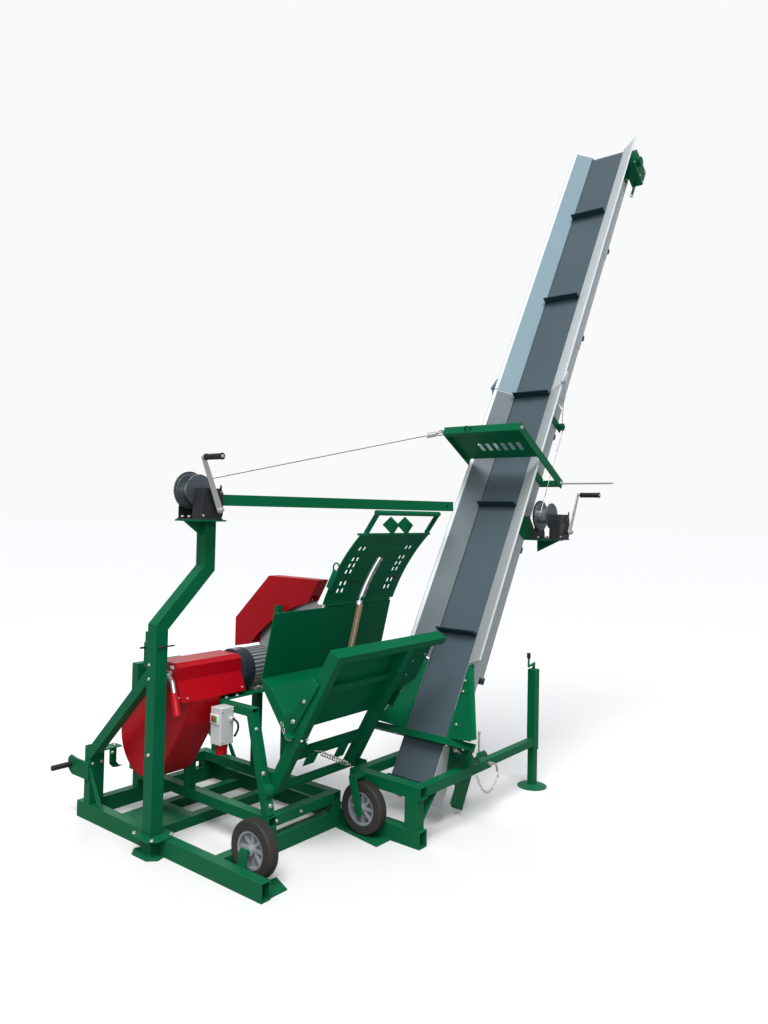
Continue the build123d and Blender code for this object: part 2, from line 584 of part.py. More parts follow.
with BuildPart() as motor:
    rod((MOTOR_X, SHAFT_Y, SHAFT_Z), (MOTOR_X + MOTOR_LENGTH, SHAFT_Y, SHAFT_Z), MOTOR_R - 9)
    fin_count = 32
    with BuildSketch(side_view(MOTOR_X + 70)) as fins:
        with Locations((SHAFT_Y, SHAFT_Z)):
            Circle(MOTOR_R - 8)
            with PolarLocations(MOTOR_R - 7, fin_count):
                Rectangle(12, 4)
    extrude(fins.sketch, amount=MOTOR_LENGTH - 95)
    rod((MOTOR_X, SHAFT_Y, SHAFT_Z), (MOTOR_X + 68, SHAFT_Y, SHAFT_Z), MOTOR_R - 1, MOTOR_R - 9)
    block((MOTOR_X + 90, SHAFT_Y - 90, TABLE_Z), (MOTOR_X + 200, SHAFT_Y + 90, TABLE_Z + 14))
    block((MOTOR_X + 100, SHAFT_Y - 50, TABLE_Z), (MOTOR_X + 190, SHAFT_Y + 50, SHAFT_Z - 60))
finish(motor, "motor")

with BuildPart() as saw_shaft:
    rod((MOTOR_X + MOTOR_LENGTH + 5, SHAFT_Y, SHAFT_Z), (BLADE_X + 35, SHAFT_Y, SHAFT_Z), SHAFT_R)
    for x in (BLADE_X - BLADE_THICK / 2 - 12, BLADE_X + BLADE_THICK / 2):
        rod((x, SHAFT_Y, SHAFT_Z), (x + 12, SHAFT_Y, SHAFT_Z), 58)
finish(saw_shaft, "saw_shaft")

with BuildPart() as saw_blade:
    with BuildSketch(side_view(BLADE_X - BLADE_THICK / 2)) as blade:
        with Locations((SHAFT_Y, SHAFT_Z)):
            Circle(BLADE_R - 14)
            with PolarLocations(BLADE_R - 15, BLADE_TEETH):
                Polygon((-4, -17), (15, 8), (-4, 15))
            Circle(SHAFT_R, mode=Mode.SUBTRACT)
    extrude(blade.sketch, amount=BLADE_THICK)
finish(saw_blade, "saw_blade")

# Upper blade guard: a sheet box round the blade's top and back, concentric with the rocker below
guard_left = BLADE_X - GUARD_WIDE / 2
guard_outline = [(1012, 1212), (613, 1212), (690, 1081), (700, 1079), (800, 1048), (905, 1000),
                 (1010, 934), (1095, 865), (1160, 800), (1294, 773), (1294, 943)]
guard_hollow = [(1000, 1208), (619, 1208), (671, 1120), (640, 1120), (640, 1060), (702, 1062), (800, 1038), (905, 990),
                (1010, 920), (1095, 850), (1150, 760), (1290, 700), (1290, 938)]
with BuildPart() as blade_guard:
    slab(side_view(guard_left), guard_outline, GUARD_WIDE)
    slab(side_view(guard_left + SHEET), guard_hollow, GUARD_WIDE - 2 * SHEET, mode=Mode.SUBTRACT)
finish(blade_guard, "blade_guard")

with BuildPart() as switch_box:
    switch_x, switch_y, switch_z = leg_x - 45 / 2 - 80, 560.0, 470.0
    block((switch_x, switch_y, switch_z), (switch_x + 80, switch_y + 75, switch_z + 170))
    edges = switch_box.edges().filter_by(Axis.Z)
    fillet(edges, radius=4)
finish(switch_box, "switch_box")

with BuildPart() as power_inlet:
    rod((switch_x + 40, switch_y + 38, switch_z - 52), (switch_x + 40, switch_y + 38, switch_z), 26)
finish(power_inlet, "power_inlet")

# Rocker frame: its own directions are up the board from the pivot, and square to it
LEAN_SIN, LEAN_COS = sin(radians(BOARD_LEAN)), cos(radians(BOARD_LEAN))


def board_point(up, back):
    """Y and Z of a point given up the rocker's board from the pivot and behind its middle."""
    return (PIVOT_Y - up * LEAN_SIN + back * LEAN_COS, PIVOT_Z + up * LEAN_COS + back * LEAN_SIN)


def board_view(back):
    """The board's own plane at a distance behind its middle: x across, y up from the pivot."""
    y, z = board_point(0, back)
    return Plane(origin=(0, y, z), x_dir=(1, 0, 0), z_dir=(0, -LEAN_COS, -LEAN_SIN))


trough_profile = [board_point(475, ROCKER_DEEP / 2 + PANEL_SHEET + 0.3), (262, 640), (363, 757), (425, 787),
                  (349, 1104)]
trough_under = strip(trough_profile, -PANEL_SHEET)[:-len(trough_profile) - 1:-1]

with BuildPart() as rocker_frame:
    arms = (ROCKER_LEFT_X + ROCKER_ARM / 2, ROCKER_RIGHT_X - ROCKER_ARM / 2)
    for x in arms:
        top = board_point(BOARD_TOP - 20, 0)
        run((x, PIVOT_Y, PIVOT_Z), (x, top[0], top[1]), ROCKER_ARM, ROCKER_DEEP, TUBE_WALL)
    top = board_point(BOARD_TOP - 20, 0)
    with BuildSketch(Plane(origin=(ROCKER_LEFT_X, *top), x_dir=(0, LEAN_COS, LEAN_SIN), z_dir=(1, 0, 0))) as bar:
        Rectangle(ROCKER_DEEP, 40)
    extrude(bar.sketch, amount=ROCKER_BOARD_END_X - ROCKER_LEFT_X)
    inner_left, inner_right = ROCKER_LEFT_X + ROCKER_ARM, ROCKER_RIGHT_X - ROCKER_ARM
    board_back = ROCKER_DEEP / 2
    slab(board_view(board_back), [(inner_left, 330), (inner_right, 330), (inner_right, BOARD_TOP - 40),
                                  (inner_left, BOARD_TOP - 40)], PANEL_SHEET)
    slab(board_view(board_back), [(ROCKER_RIGHT_X, 430), (ROCKER_RIGHT_X + 90, 400), (ROCKER_BOARD_END_X, 470),
                                  (ROCKER_BOARD_END_X, BOARD_TOP - 40), (ROCKER_RIGHT_X, BOARD_TOP - 40)],
         PANEL_SHEET)
    for up, deep in ((560, 24), (190, 40)):
        y, z = board_point(up, board_back - PANEL_SHEET - deep / 2)
        run((inner_left, y, z), (inner_right, y, z), 40, deep, SHEET, side=(0, -LEAN_SIN, LEAN_COS))
    rib = [board_point(300, board_back - 1), board_point(440, board_back - 1)] + trough_under[:4]
    rib += [(412, 735), (285, 575)]
    for x in (ROCKER_LEFT_X, ROCKER_RIGHT_X - 6, BLADE_X + 30, TROUGH_END_X - 6):
        slab(side_view(x), rib, 6)
    rod((ROCKER_LEFT_X, PIVOT_Y, PIVOT_Z), (ROCKER_RIGHT_X, PIVOT_Y, PIVOT_Z), PIVOT_TUBE_R)
    rod((ROCKER_LEFT_X - 1, PIVOT_Y, PIVOT_Z), (ROCKER_RIGHT_X + 1, PIVOT_Y, PIVOT_Z),
        PIVOT_SHAFT_R + RUNNING_GAP, mode=Mode.SUBTRACT)
finish(rocker_frame, "rocker_frame")

# Rocker trough: a bent sheet each side of the blade slot, from the board round to the back panel
slot_left, slot_right = BLADE_X - BLADE_SLOT / 2, BLADE_X + BLADE_SLOT / 2
trough_sides = (  # name, left end, right end of the floor, right end of the back panel
    ("trough_left", ROCKER_LEFT_X, slot_left, slot_left),
    ("trough_right", slot_right, TROUGH_END_X, PANEL_END_X),
)
for name, left, floor_right, panel_right in trough_sides:
    with BuildPart() as trough:
        slab(side_view(left), strip(trough_profile, -PANEL_SHEET), floor_right - left)
        slab(side_view(left), strip(trough_profile[-2:], -PANEL_SHEET), panel_right - left)
    finish(trough, name)

# Clamp hood: a curved perforated plate hinged to the top of the back panel
hinge_spans = ((HOOD_LEFT_X + 30, BLADE_X - 40), (BLADE_X + 40, PANEL_END_X - 30))
with BuildPart() as clamp_hood:
    with BuildSketch(side_view(HOOD_LEFT_X)) as hood_side:
        with BuildLine():
            outer = ThreePointArc((HINGE_Y, HINGE_Z + 8), HOOD_MID, HOOD_TIP)
            inner = ThreePointArc((HINGE_Y - 5, HINGE_Z + 7), (HOOD_MID[0] - 4, HOOD_MID[1] - 4),
                                  (HOOD_TIP[0] - 3, HOOD_TIP[1] - 4))
            Line(outer @ 0, inner @ 0)
            Line(outer @ 1, inner @ 1)
        make_face()
    extrude(hood_side.sketch, amount=HOOD_RIGHT_X - HOOD_LEFT_X)
    chord = Vector(0, HOOD_TIP[0] - HINGE_Y, HOOD_TIP[1] - HINGE_Z)
    hood_plane = Plane(origin=(0, HINGE_Y + 60, HINGE_Z + 40), x_dir=(1, 0, 0),
                       z_dir=Vector(1, 0, 0).cross(chord))
    with BuildSketch(hood_plane) as holes:
        for row in (79, 123, 194, 233, 273, 343):
            for column in (745, 779, 1128, 1162):
                with Locations((column, row)):
                    Rectangle(18, 26)
        with Locations((BLADE_X, 130)):
            Rectangle(HOOD_SLIT, 280)
    extrude(holes.sketch, amount=200, both=True, mode=Mode.SUBTRACT)
    for x in (HANDLE_LEFT_X + 14, HOOD_RIGHT_X - 14):
        rod((x, HOOD_TIP[0] + 2, HOOD_TIP[1] + 8), (x, HANDLE_Y, HANDLE_Z), HANDLE_R)
    rod((HANDLE_LEFT_X, HANDLE_Y, HANDLE_Z), (HOOD_RIGHT_X - 4, HANDLE_Y, HANDLE_Z), HANDLE_R)
    block((HOOD_LEFT_X, HOOD_TIP[0] - 14, HOOD_TIP[1] - 3), (HOOD_RIGHT_X, HOOD_TIP[0] + 18, HOOD_TIP[1] + 8))
    for x in (BLADE_X - 62, BLADE_X + 56):
        slab(side_view(x), [(100, HOOD_TIP[1] + 8), (152, HOOD_TIP[1] + 50), (100, HOOD_TIP[1] + 92),
                            (48, HOOD_TIP[1] + 50), (80, HOOD_TIP[1] + 8)], 6)
    for left, right in hinge_spans:
        rod((left, HINGE_Y, HINGE_Z), (right, HINGE_Y, HINGE_Z), 9)
        rod((left, HINGE_Y, HINGE_Z), (right, HINGE_Y, HINGE_Z), 5.3, mode=Mode.SUBTRACT)
finish(clamp_hood, "clamp_hood")

with BuildPart() as hood_hinge:
    for left, right in hinge_spans:
        rod((left - 12, HINGE_Y, HINGE_Z), (right + 12, HINGE_Y, HINGE_Z), 5)
        for x in (left - 12, right + 6):
            rod((x, HINGE_Y, HINGE_Z), (x + 6, HINGE_Y, HINGE_Z), 6.6)
            block((x, HINGE_Y - 6.6, HINGE_Z - 8.7), (x + 6, HINGE_Y + 6.6, HINGE_Z))
finish(hood_hinge, "hood_hinge")

# Conveyor walls, one channel below the fold and one above it
wall_faces = (BELT_RIGHT_Y, BELT_LEFT_Y + SHEET)
bed_low, bed_high = -BELT_THICK - 4, -BELT_THICK - 1


def flared_boards(start, end):
    """The slanting boards on both walls between two stations along the belt."""
    for edge, out in ((BELT_RIGHT_Y, -1), (BELT_LEFT_Y, 1)):
        board = [(edge + out * 0.5, FLARE_FROM - 2), (edge + out * (SHEET + FLARE_OUT), FLARE_FROM + FLARE_UP)]
        slab(belt_section(start), strip(board, out * SHEET), end - start)


# Fold hinge: a lug and pin on each outer edge of the lower boards, a bored lug on the upper ones
board_edges = ((BELT_RIGHT_Y - SHEET - FLARE_OUT, -1), (BELT_LEFT_Y + SHEET + FLARE_OUT, 1))
lug_sink, lug_thick, pin_r = 1.0, 5.0, 6.0

with BuildPart() as lower_channel:
    for face in wall_faces:
        slab(belt_side(face), [(TAIL_DRUM_AT - 75, -WALL_DEEP), (FOLD_AT, -WALL_DEEP),
                               (FOLD_AT, FLARE_FROM), (TAIL_DRUM_AT - 30, FLARE_FROM),
                               (TAIL_DRUM_AT - 75, -40)], SHEET)
    flared_boards(BOARD_START, FOLD_AT)
    for edge, out in board_edges:
        inner, outer = edge - out * lug_sink, edge + out * (lug_thick - lug_sink)
        with BuildSketch(belt_side(max(inner, outer))) as lug:
            Polygon((FOLD_AT - 70, 66), (FOLD_AT - 2, 66), (FOLD_AT - 2, FOLD_ACROSS), (FOLD_AT - 14, FOLD_ACROSS))
            with Locations((FOLD_AT, FOLD_ACROSS)):
                Circle(2.2 * pin_r)
        extrude(lug.sketch, amount=lug_thick)
        rod(belt_point(FOLD_AT, inner, FOLD_ACROSS), belt_point(FOLD_AT, outer + out * 9, FOLD_ACROSS), pin_r)
    belt_block((TAIL_DRUM_AT + 70, FOLD_AT - 20), (BELT_RIGHT_Y, BELT_LEFT_Y), (bed_low, bed_high))
finish(lower_channel, "lower_channel")

with BuildPart() as upper_channel:
    for face in wall_faces:
        slab(belt_side(face), [(FOLD_AT + FOLD_GAP, -UPPER_WALL_DEEP),
                               (HEAD_DRUM_AT + 40, -UPPER_WALL_DEEP), (HEAD_DRUM_AT + 75, -60),
                               (HEAD_DRUM_AT + 40, FLARE_FROM), (FOLD_AT + FOLD_GAP, FLARE_FROM)], SHEET)
    flared_boards(FOLD_AT + FOLD_GAP, HEAD_DRUM_AT + 40)
    for edge, out in board_edges:
        inner = edge + out * (lug_thick - lug_sink + RUNNING_GAP)
        outer = inner + out * lug_thick
        with BuildSketch(belt_side(max(inner, outer))) as lug:
            Polygon((FOLD_AT + 10, FOLD_ACROSS + 8), (FOLD_AT + 90, 86), (FOLD_AT + 90, 66), (FOLD_AT + 14, 70))
            with Locations((FOLD_AT, FOLD_ACROSS)):
                Circle(2.2 * pin_r)
                Circle(pin_r + 0.05, mode=Mode.SUBTRACT)
        extrude(lug.sketch, amount=lug_thick)
        low, high = sorted((edge - out * lug_sink, inner))
        belt_block((FOLD_AT + 40, FOLD_AT + 90), (low, high), (70, 86))
    belt_block((FOLD_AT + 30, HEAD_DRUM_AT - 70), (BELT_RIGHT_Y, BELT_LEFT_Y), (bed_low, bed_high))
finish(upper_channel, "upper_channel")

# Belt: a loop round both drums with cleats on both strands, parted at the fold
belt_right = BELT_RIGHT_Y + BELT_SIDE_GAP
belt_left = BELT_LEFT_Y - BELT_SIDE_GAP
strand_low = -2 * DRUM_R


def cleat(at, upwards):
    """One cleat at a station along the belt, standing on the top strand or under the lower one."""
    if upwards:
        corners = [(at - 14, -1), (at + 8, -1), (at + 2, CLEAT_HIGH), (at - 4, CLEAT_HIGH)]
    else:
        corners = [(at + 14, strand_low + 1), (at - 8, strand_low + 1), (at - 2, strand_low - CLEAT_HIGH),
                   (at + 4, strand_low - CLEAT_HIGH)]
    slab(belt_side(belt_left), corners, belt_left - belt_right)


top_cleats = [CLEAT_FIRST + CLEAT_PITCH * step for step in range(-1, 5)]
low_cleats = [HEAD_DRUM_AT - 2 - CLEAT_PITCH * step for step in range(0, 6)]
with BuildPart() as lower_belt:
    with BuildSketch(belt_side(belt_left)) as loop:
        for radius, mode in ((DRUM_R, Mode.ADD), (DRUM_R - BELT_THICK, Mode.SUBTRACT)):
            with Locations((TAIL_DRUM_AT, -DRUM_R)):
                Circle(radius, mode=mode)
            Polygon((TAIL_DRUM_AT, -DRUM_R - radius), (FOLD_AT, -DRUM_R - radius),
                    (FOLD_AT, -DRUM_R + radius), (TAIL_DRUM_AT, -DRUM_R + radius), mode=mode)
    extrude(loop.sketch, amount=belt_left - belt_right)
    for at in top_cleats:
        if at < FOLD_AT:
            cleat(at, True)
    for at in low_cleats:
        if at < FOLD_AT:
            cleat(at, False)
finish(lower_belt, "lower_belt")

with BuildPart() as upper_belt:
    with BuildSketch(belt_side(belt_left)) as loop:
        for radius, mode in ((DRUM_R, Mode.ADD), (DRUM_R - BELT_THICK, Mode.SUBTRACT)):
            with Locations((HEAD_DRUM_AT, -DRUM_R)):
                Circle(radius, mode=mode)
            Polygon((HEAD_DRUM_AT, -DRUM_R - radius), (HEAD_DRUM_AT, -DRUM_R + radius),
                    (FOLD_AT + FOLD_GAP, -DRUM_R + radius),
                    (FOLD_AT + FOLD_GAP, -DRUM_R - radius), mode=mode)
    extrude(loop.sketch, amount=belt_left - belt_right)
    for at in top_cleats:
        if at > FOLD_AT:
            cleat(at, True)
    for at in low_cleats:
        if at > FOLD_AT:
            cleat(at, False)
finish(upper_belt, "upper_belt")

drum_inner = DRUM_R - BELT_THICK - 0.3
for name, at in (("tail_drum", TAIL_DRUM_AT), ("head_drum", HEAD_DRUM_AT)):
    with BuildPart() as drum:
        rod(belt_point(at, belt_right, -DRUM_R), belt_point(at, belt_left, -DRUM_R), drum_inner)
        rod(belt_point(at, BELT_RIGHT_Y + 0.3, -DRUM_R), belt_point(at, BELT_LEFT_Y - 0.3, -DRUM_R), 16)
    finish(drum, name)

# Tail frame: bearing cheeks on the walls with the tilt bores, and the channel foot under them
tilt_along = (TILT_X - BELT_FOOT_X) * SLOPE_COS + TILT_Z * SLOPE_SIN
tilt_across = -(TILT_X - BELT_FOOT_X) * SLOPE_SIN + TILT_Z * SLOPE_COS
with BuildPart() as tail_frame:
    cheek_faces = (BELT_RIGHT_Y - SHEET, BELT_LEFT_Y + SHEET + TAIL_PLATE)
    for face in cheek_faces:
        with BuildSketch(belt_side(face)) as cheek:
            Polygon((TAIL_DRUM_AT + 65, -WALL_DEEP - 60), (tilt_along + 60, -WALL_DEEP - 60),
                    (tilt_along + 90, -90), (tilt_along + 40, -40), (TAIL_DRUM_AT + 95, -90))
            with Locations((tilt_along, tilt_across)):
                Circle(TILT_PIN_R + RUNNING_GAP, mode=Mode.SUBTRACT)
        extrude(cheek.sketch, amount=TAIL_PLATE)
    cheek_bottom = -WALL_DEEP - 60
    tie = [(TAIL_DRUM_AT + 70, cheek_bottom), (TAIL_DRUM_AT + 70, cheek_bottom - 6),
           (tilt_along + 50, cheek_bottom - 6), (tilt_along + 50, cheek_bottom)]
    slab(belt_side(cheek_faces[1]), tie, cheek_faces[1] - cheek_faces[0] + TAIL_PLATE)
    foot_profile = [(BELT_RIGHT_Y - SHEET - TAIL_PLATE, cheek_bottom - 6), (BELT_RIGHT_Y - SHEET - TAIL_PLATE, -330),
                    (-20, -330), (-20, -300), (-69, -300), (-69, cheek_bottom - 6)]
    slab(belt_section(205), foot_profile, 250)
finish(tail_frame, "tail_frame")

# Hopper: two wings that spread from the belt towards its foot, and the angle bar across its mouth
def wing(corners, thick):
    """A flat plate through corners given along the belt, sideways and above the belt."""
    points = [Vector(*belt_point(*corner)) for corner in corners]
    first = points[1] - points[0]
    plane = Plane(origin=points[0], x_dir=first, z_dir=first.cross(points[2] - points[0]))
    slab(plane, [tuple(plane.to_local_coords(point))[:2] for point in points], thick)


with BuildPart() as hopper:
    bar_left, bar_right = BELT_LEFT_Y + 198, BELT_RIGHT_Y - 186
    belt_block((HOPPER_START - 44, HOPPER_START), (bar_right, bar_left), (9, 13))
    belt_block((HOPPER_START - 44, HOPPER_START - 40), (bar_right, bar_left), (9, 62))
    for edge, out in ((BELT_RIGHT_Y, -1), (BELT_LEFT_Y, 1)):
        foot = (HOPPER_START - 2, edge + out * SHEET, FLARE_FROM + 1)
        top = (BOARD_START - 8, edge + out * SHEET, FLARE_FROM + 1)
        spread = (HOPPER_START - 2, edge + out * 179, 57)
        wing([foot, top, spread], out * -SHEET)
        low, high = sorted((edge + out * SHEET, edge + out * (SHEET + PLATE)))
        belt_block((HOPPER_START - 30, HOPPER_START + 150), (low, high), (-34, FLARE_FROM + 4))
finish(hopper, "hopper")

# Yoke for the hoist rope: an arch round the conveyor with a tie under it
yoke_right = BELT_RIGHT_Y - SHEET - FLARE_OUT - YOKE_SIDE_GAP
yoke_left = BELT_LEFT_Y + SHEET + FLARE_OUT + YOKE_SIDE_GAP
with BuildPart() as yoke:
    for low, high in ((yoke_right - PLATE, yoke_right), (yoke_left, yoke_left + PLATE)):
        belt_block((YOKE_AT - 25, YOKE_AT + 25), (low, high), (YOKE_BOTTOM, YOKE_TOP))
    belt_block((YOKE_AT - 25, YOKE_AT + 25), (yoke_right, yoke_left), (YOKE_TOP - 30, YOKE_TOP))
    belt_block((YOKE_AT - 3, YOKE_AT + 3), (yoke_right, yoke_left), (190, YOKE_TOP - 30))
    belt_block((YOKE_AT - 15, YOKE_AT + 15), (yoke_right, yoke_left), (YOKE_BOTTOM, YOKE_BOTTOM + 30))
    for face in (BELT_RIGHT_Y - SHEET - PLATE, BELT_LEFT_Y + SHEET):
        belt_block((YOKE_AT - 25, YOKE_AT + 25), (face, face + PLATE), (YOKE_BOTTOM + 30, -70))
finish(yoke, "yoke")

with BuildPart() as yoke_rod:
    rod(belt_point(YOKE_AT, yoke_right - PLATE, YOKE_BOTTOM + 15),
        belt_point(YOKE_AT, yoke_right - PLATE - 330, YOKE_BOTTOM + 15), 5)
finish(yoke_rod, "yoke_rod")

# Fold winch, rope pulley and their brackets on the right wall
near_face = BELT_RIGHT_Y - SHEET
fold_x, fold_y, fold_z = FOLD_WINCH_AT
with BuildPart() as winch_bracket:
    slab(front_view(near_face), [(fold_x - 141, fold_z + 138), (fold_x - 31, fold_z + 138), (fold_x + 79, fold_z),
                                 (fold_x + 79, fold_z - 6), (fold_x - 81, fold_z - 6), (fold_x - 171, fold_z + 48)],
         PLATE)
    block((fold_x - 80, fold_y - 120, fold_z - 6), (fold_x + 79, near_face, fold_z))
    slab(side_view(fold_x + 71), [(near_face - PLATE, fold_z - 6), (fold_y - 100, fold_z - 6),
                                  (near_face - PLATE, fold_z - 80)], PLATE)
finish(winch_bracket, "winch_bracket")
winch(Plane(origin=FOLD_WINCH_AT, x_dir=(1, 0, 0), z_dir=(0, -1, 0)), FOLD_CRANK_END, "fold_winch")

with BuildPart() as rope_pulley:
    belt_block((PULLEY_AT - 22, PULLEY_AT + 22), (near_face - PLATE, near_face), (PULLEY_ACROSS - 30, -60))
    rod(belt_point(PULLEY_AT, near_face - PLATE, PULLEY_ACROSS),
        belt_point(PULLEY_AT, near_face - PLATE - 40, PULLEY_ACROSS), 8)
    for offset, radius in ((10, 24), (14, 18), (26, 24)):
        rod(belt_point(PULLEY_AT, near_face - PLATE - offset, PULLEY_ACROSS),
            belt_point(PULLEY_AT, near_face - PLATE - offset - (12 if radius < 20 else 4), PULLEY_ACROSS), radius)
finish(rope_pulley, "rope_pulley")

# Head drive: bearing plate, gearbox and tension screw on the right of the head drum
with BuildPart() as head_drive:
    belt_block((HEAD_DRUM_AT - 170, HEAD_DRUM_AT + 55), (near_face - PLATE, near_face), (-150, -15))
    belt_block((HEAD_DRUM_AT - 110, HEAD_DRUM_AT + 30), (near_face - 90, near_face - PLATE), (-240, -20))
    rod(belt_point(HEAD_DRUM_AT - 250, near_face - 45, -205), belt_point(HEAD_DRUM_AT - 110, near_face - 45, -205), 10)
    rod(belt_point(HEAD_DRUM_AT - 40, near_face - 90, -80), belt_point(HEAD_DRUM_AT - 40, near_face - 120, -80), 34)
finish(head_drive, "head_drive")

# Ropes, drawn taut, each with its turns on the drum
yoke_corner = belt_point(YOKE_AT, yoke_left + PLATE + ROPE_R + 0.3, YOKE_TOP - 15)
turn_r = WINCH_CORE_R + ROPE_R + 0.5
drum_one = (HOIST_WINCH_AT[0] + WINCH_AXIS[0], HOIST_WINCH_AT[2] + WINCH_AXIS[1])
drum_two = (fold_x + WINCH_AXIS[0], fold_z + WINCH_AXIS[1])


def turns(centre, y_first, count, radius):
    """Rings of rope lying side by side on a drum."""
    for turn in range(count):
        y = y_first - 2 * radius * turn
        rod((centre[0], y + radius, centre[1]), (centre[0], y - radius, centre[1]), WINCH_CORE_R + 2 * radius + 0.8,
            WINCH_CORE_R + 0.1)


with BuildPart() as hoist_rope:
    rise = atan2(yoke_corner[2] - drum_one[1] - turn_r, yoke_corner[0] - drum_one[0])
    top = (drum_one[0] - turn_r * sin(rise), HOIST_WINCH_AT[1] - 60, drum_one[1] + turn_r * cos(rise))
    rod(top, yoke_corner, ROPE_R)
    turns(drum_one, HOIST_WINCH_AT[1] - 24, 9, ROPE_R)
finish(hoist_rope, "hoist_rope")

rope_y = near_face - PLATE - 20
along, above = belt_place(*drum_two)
reach = WINCH_CORE_R + 3
with BuildPart() as fold_rope_low:
    rod(belt_point(along + 0.12 * reach, fold_y - 30, above + 0.992 * reach),
        belt_point(PULLEY_AT - 2.5, rope_y, PULLEY_ACROSS - 20.6), 2.5)
    turns(drum_two, fold_y - 22, 12, 2.5)
finish(fold_rope_low, "fold_rope_low")
with BuildPart() as fold_rope_top:
    rod(belt_point(PULLEY_AT + 19.2, rope_y, PULLEY_ACROSS + 8), belt_point(3100, near_face - 2.6, -40), 2.5)
finish(fold_rope_top, "fold_rope_top")

# Transport wheels with their axles
for name, (x, y), arm_x in (("left", WHEEL_ONE, 44), ("right", WHEEL_TWO, 728)):
    with BuildPart() as tyre:
        with BuildSketch(side_view(x - WHEEL_WIDE / 2)) as ring:
            with Locations((y, WHEEL_Z)):
                Circle(WHEEL_R)
                Circle(RIM_R, mode=Mode.SUBTRACT)
        extrude(ring.sketch, amount=WHEEL_WIDE)
        fillet(tyre.edges().filter_by(GeomType.CIRCLE).group_by(SortBy.RADIUS)[-1], radius=12)
    finish(tyre, f"tyre_{name}")
    with BuildPart() as rim:
        with BuildSketch(side_view(x - WHEEL_WIDE / 2 + 3)) as ring:
            with Locations((y, WHEEL_Z)):
                Circle(RIM_R)
                Circle(RIM_R - 10, mode=Mode.SUBTRACT)
        extrude(ring.sketch, amount=WHEEL_WIDE - 6)
        with BuildSketch(side_view(x - 14)) as spokes:
            with Locations((y, WHEEL_Z)):
                Circle(24)
                with PolarLocations((RIM_R + 12) / 2, 8):
                    Rectangle(RIM_R - 24, 14)
        extrude(spokes.sketch, amount=28)
        rod((x - WHEEL_WIDE / 2, y, WHEEL_Z), (x + WHEEL_WIDE / 2, y, WHEEL_Z), 20)
        rod((x - WHEEL_WIDE, y, WHEEL_Z), (x + WHEEL_WIDE, y, WHEEL_Z), AXLE_R + RUNNING_GAP, mode=Mode.SUBTRACT)
    finish(rim, f"rim_{name}")

with BuildPart() as wheel_carriers:
    x, y = WHEEL_ONE
    rod((left_face, y, WHEEL_Z), (x + WHEEL_WIDE / 2 + 10, y, WHEEL_Z), AXLE_R)
    slab(side_view(left_face), [(y - 25, 40), (y + 25, 40), (y + 25, WHEEL_Z), (y + 12, WHEEL_Z + 22),
                                (y - 12, WHEEL_Z + 22), (y - 25, WHEEL_Z)], PLATE)
    x, y = WHEEL_TWO
    rod((x - WHEEL_WIDE / 2 - 16, y, WHEEL_Z), (right_face, y, WHEEL_Z), AXLE_R)
    run((x - WHEEL_WIDE / 2 - 12, y - 6, WHEEL_Z - 26), (x - WHEEL_WIDE / 2 - 12, y + 45, 285), PLATE, 44)
    block((x - WHEEL_WIDE / 2 - 16, y + 22, 272), (right_face, y + 66, 285))
finish(wheel_carriers, "wheel_carriers")
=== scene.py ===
# %% [markdown]
# # A firewood saw with a folding conveyor
# The engineering model of the machine is loaded as a fixed frame. It already has every tube, plate and
# cover at its true size. Here it gets its camera, its light, its finishes, and the small things that a
# maker fits last, such as bolts, ropes, grips and chains. Lengths are in metres.

# %% Load the frame
import bpy
from math import cos, pi, radians, sin
from mathutils import Matrix, Vector


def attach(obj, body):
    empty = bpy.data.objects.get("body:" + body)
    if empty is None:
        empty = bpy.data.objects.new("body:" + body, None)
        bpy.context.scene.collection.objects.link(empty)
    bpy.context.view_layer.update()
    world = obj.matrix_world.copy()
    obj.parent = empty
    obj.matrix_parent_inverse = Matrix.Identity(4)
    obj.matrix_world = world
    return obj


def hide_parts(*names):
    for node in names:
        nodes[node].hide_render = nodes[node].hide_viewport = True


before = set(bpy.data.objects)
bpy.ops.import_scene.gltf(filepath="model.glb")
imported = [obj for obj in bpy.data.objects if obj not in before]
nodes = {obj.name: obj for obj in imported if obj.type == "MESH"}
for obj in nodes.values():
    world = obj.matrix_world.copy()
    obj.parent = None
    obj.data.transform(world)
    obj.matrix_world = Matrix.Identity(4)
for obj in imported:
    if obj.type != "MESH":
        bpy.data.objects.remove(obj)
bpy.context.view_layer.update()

print("pieces in the frame:", len(nodes))

# %% [markdown]
# ## The camera
# A picture tells where it was taken from, when straight edges of the machine are followed to where they
# meet. Here that gives a place a little above a person's eyes, in front and to the left, with the camera
# tipped up by less than two degrees. The lens is set so that its view matches the picture's tall frame.

# %% Camera
camera_place = Vector((-2.231, -2.362, 1.5825))
heading, tip, lean = radians(38.771), radians(1.802), radians(1.206)
looking = Vector((cos(tip) * cos(heading), cos(tip) * sin(heading), sin(tip)))
bpy.ops.object.camera_add(location=camera_place)
camera = bpy.context.object
camera.name = "camera"
turn = looking.to_track_quat("-Z", "Y").to_matrix() @ Matrix.Rotation(lean, 3, "Z")
camera.rotation_euler = turn.to_euler()
camera.data.sensor_fit = "AUTO"
camera.data.sensor_width = 36.0
camera.data.lens = 27.44
camera.data.shift_y = -0.0216
camera.data.clip_end = 200.0
bpy.context.scene.camera = camera
print("camera at", tuple(camera_place), "with a lens of", camera.data.lens)

# %% [markdown]
# ## Floor and light
# The machine stands on a plain pale floor under an overcast sky. The floor looks pale to the camera, but it
# throws back only part of the light, as a dull concrete yard does: otherwise the undersides of the tubes
# would glow. So its colour is mixed from two greys by the kind of ray that meets it, and the sky's is too.
# The plain colour transform is used, because strong machine paints turn chalky under a filmic one.

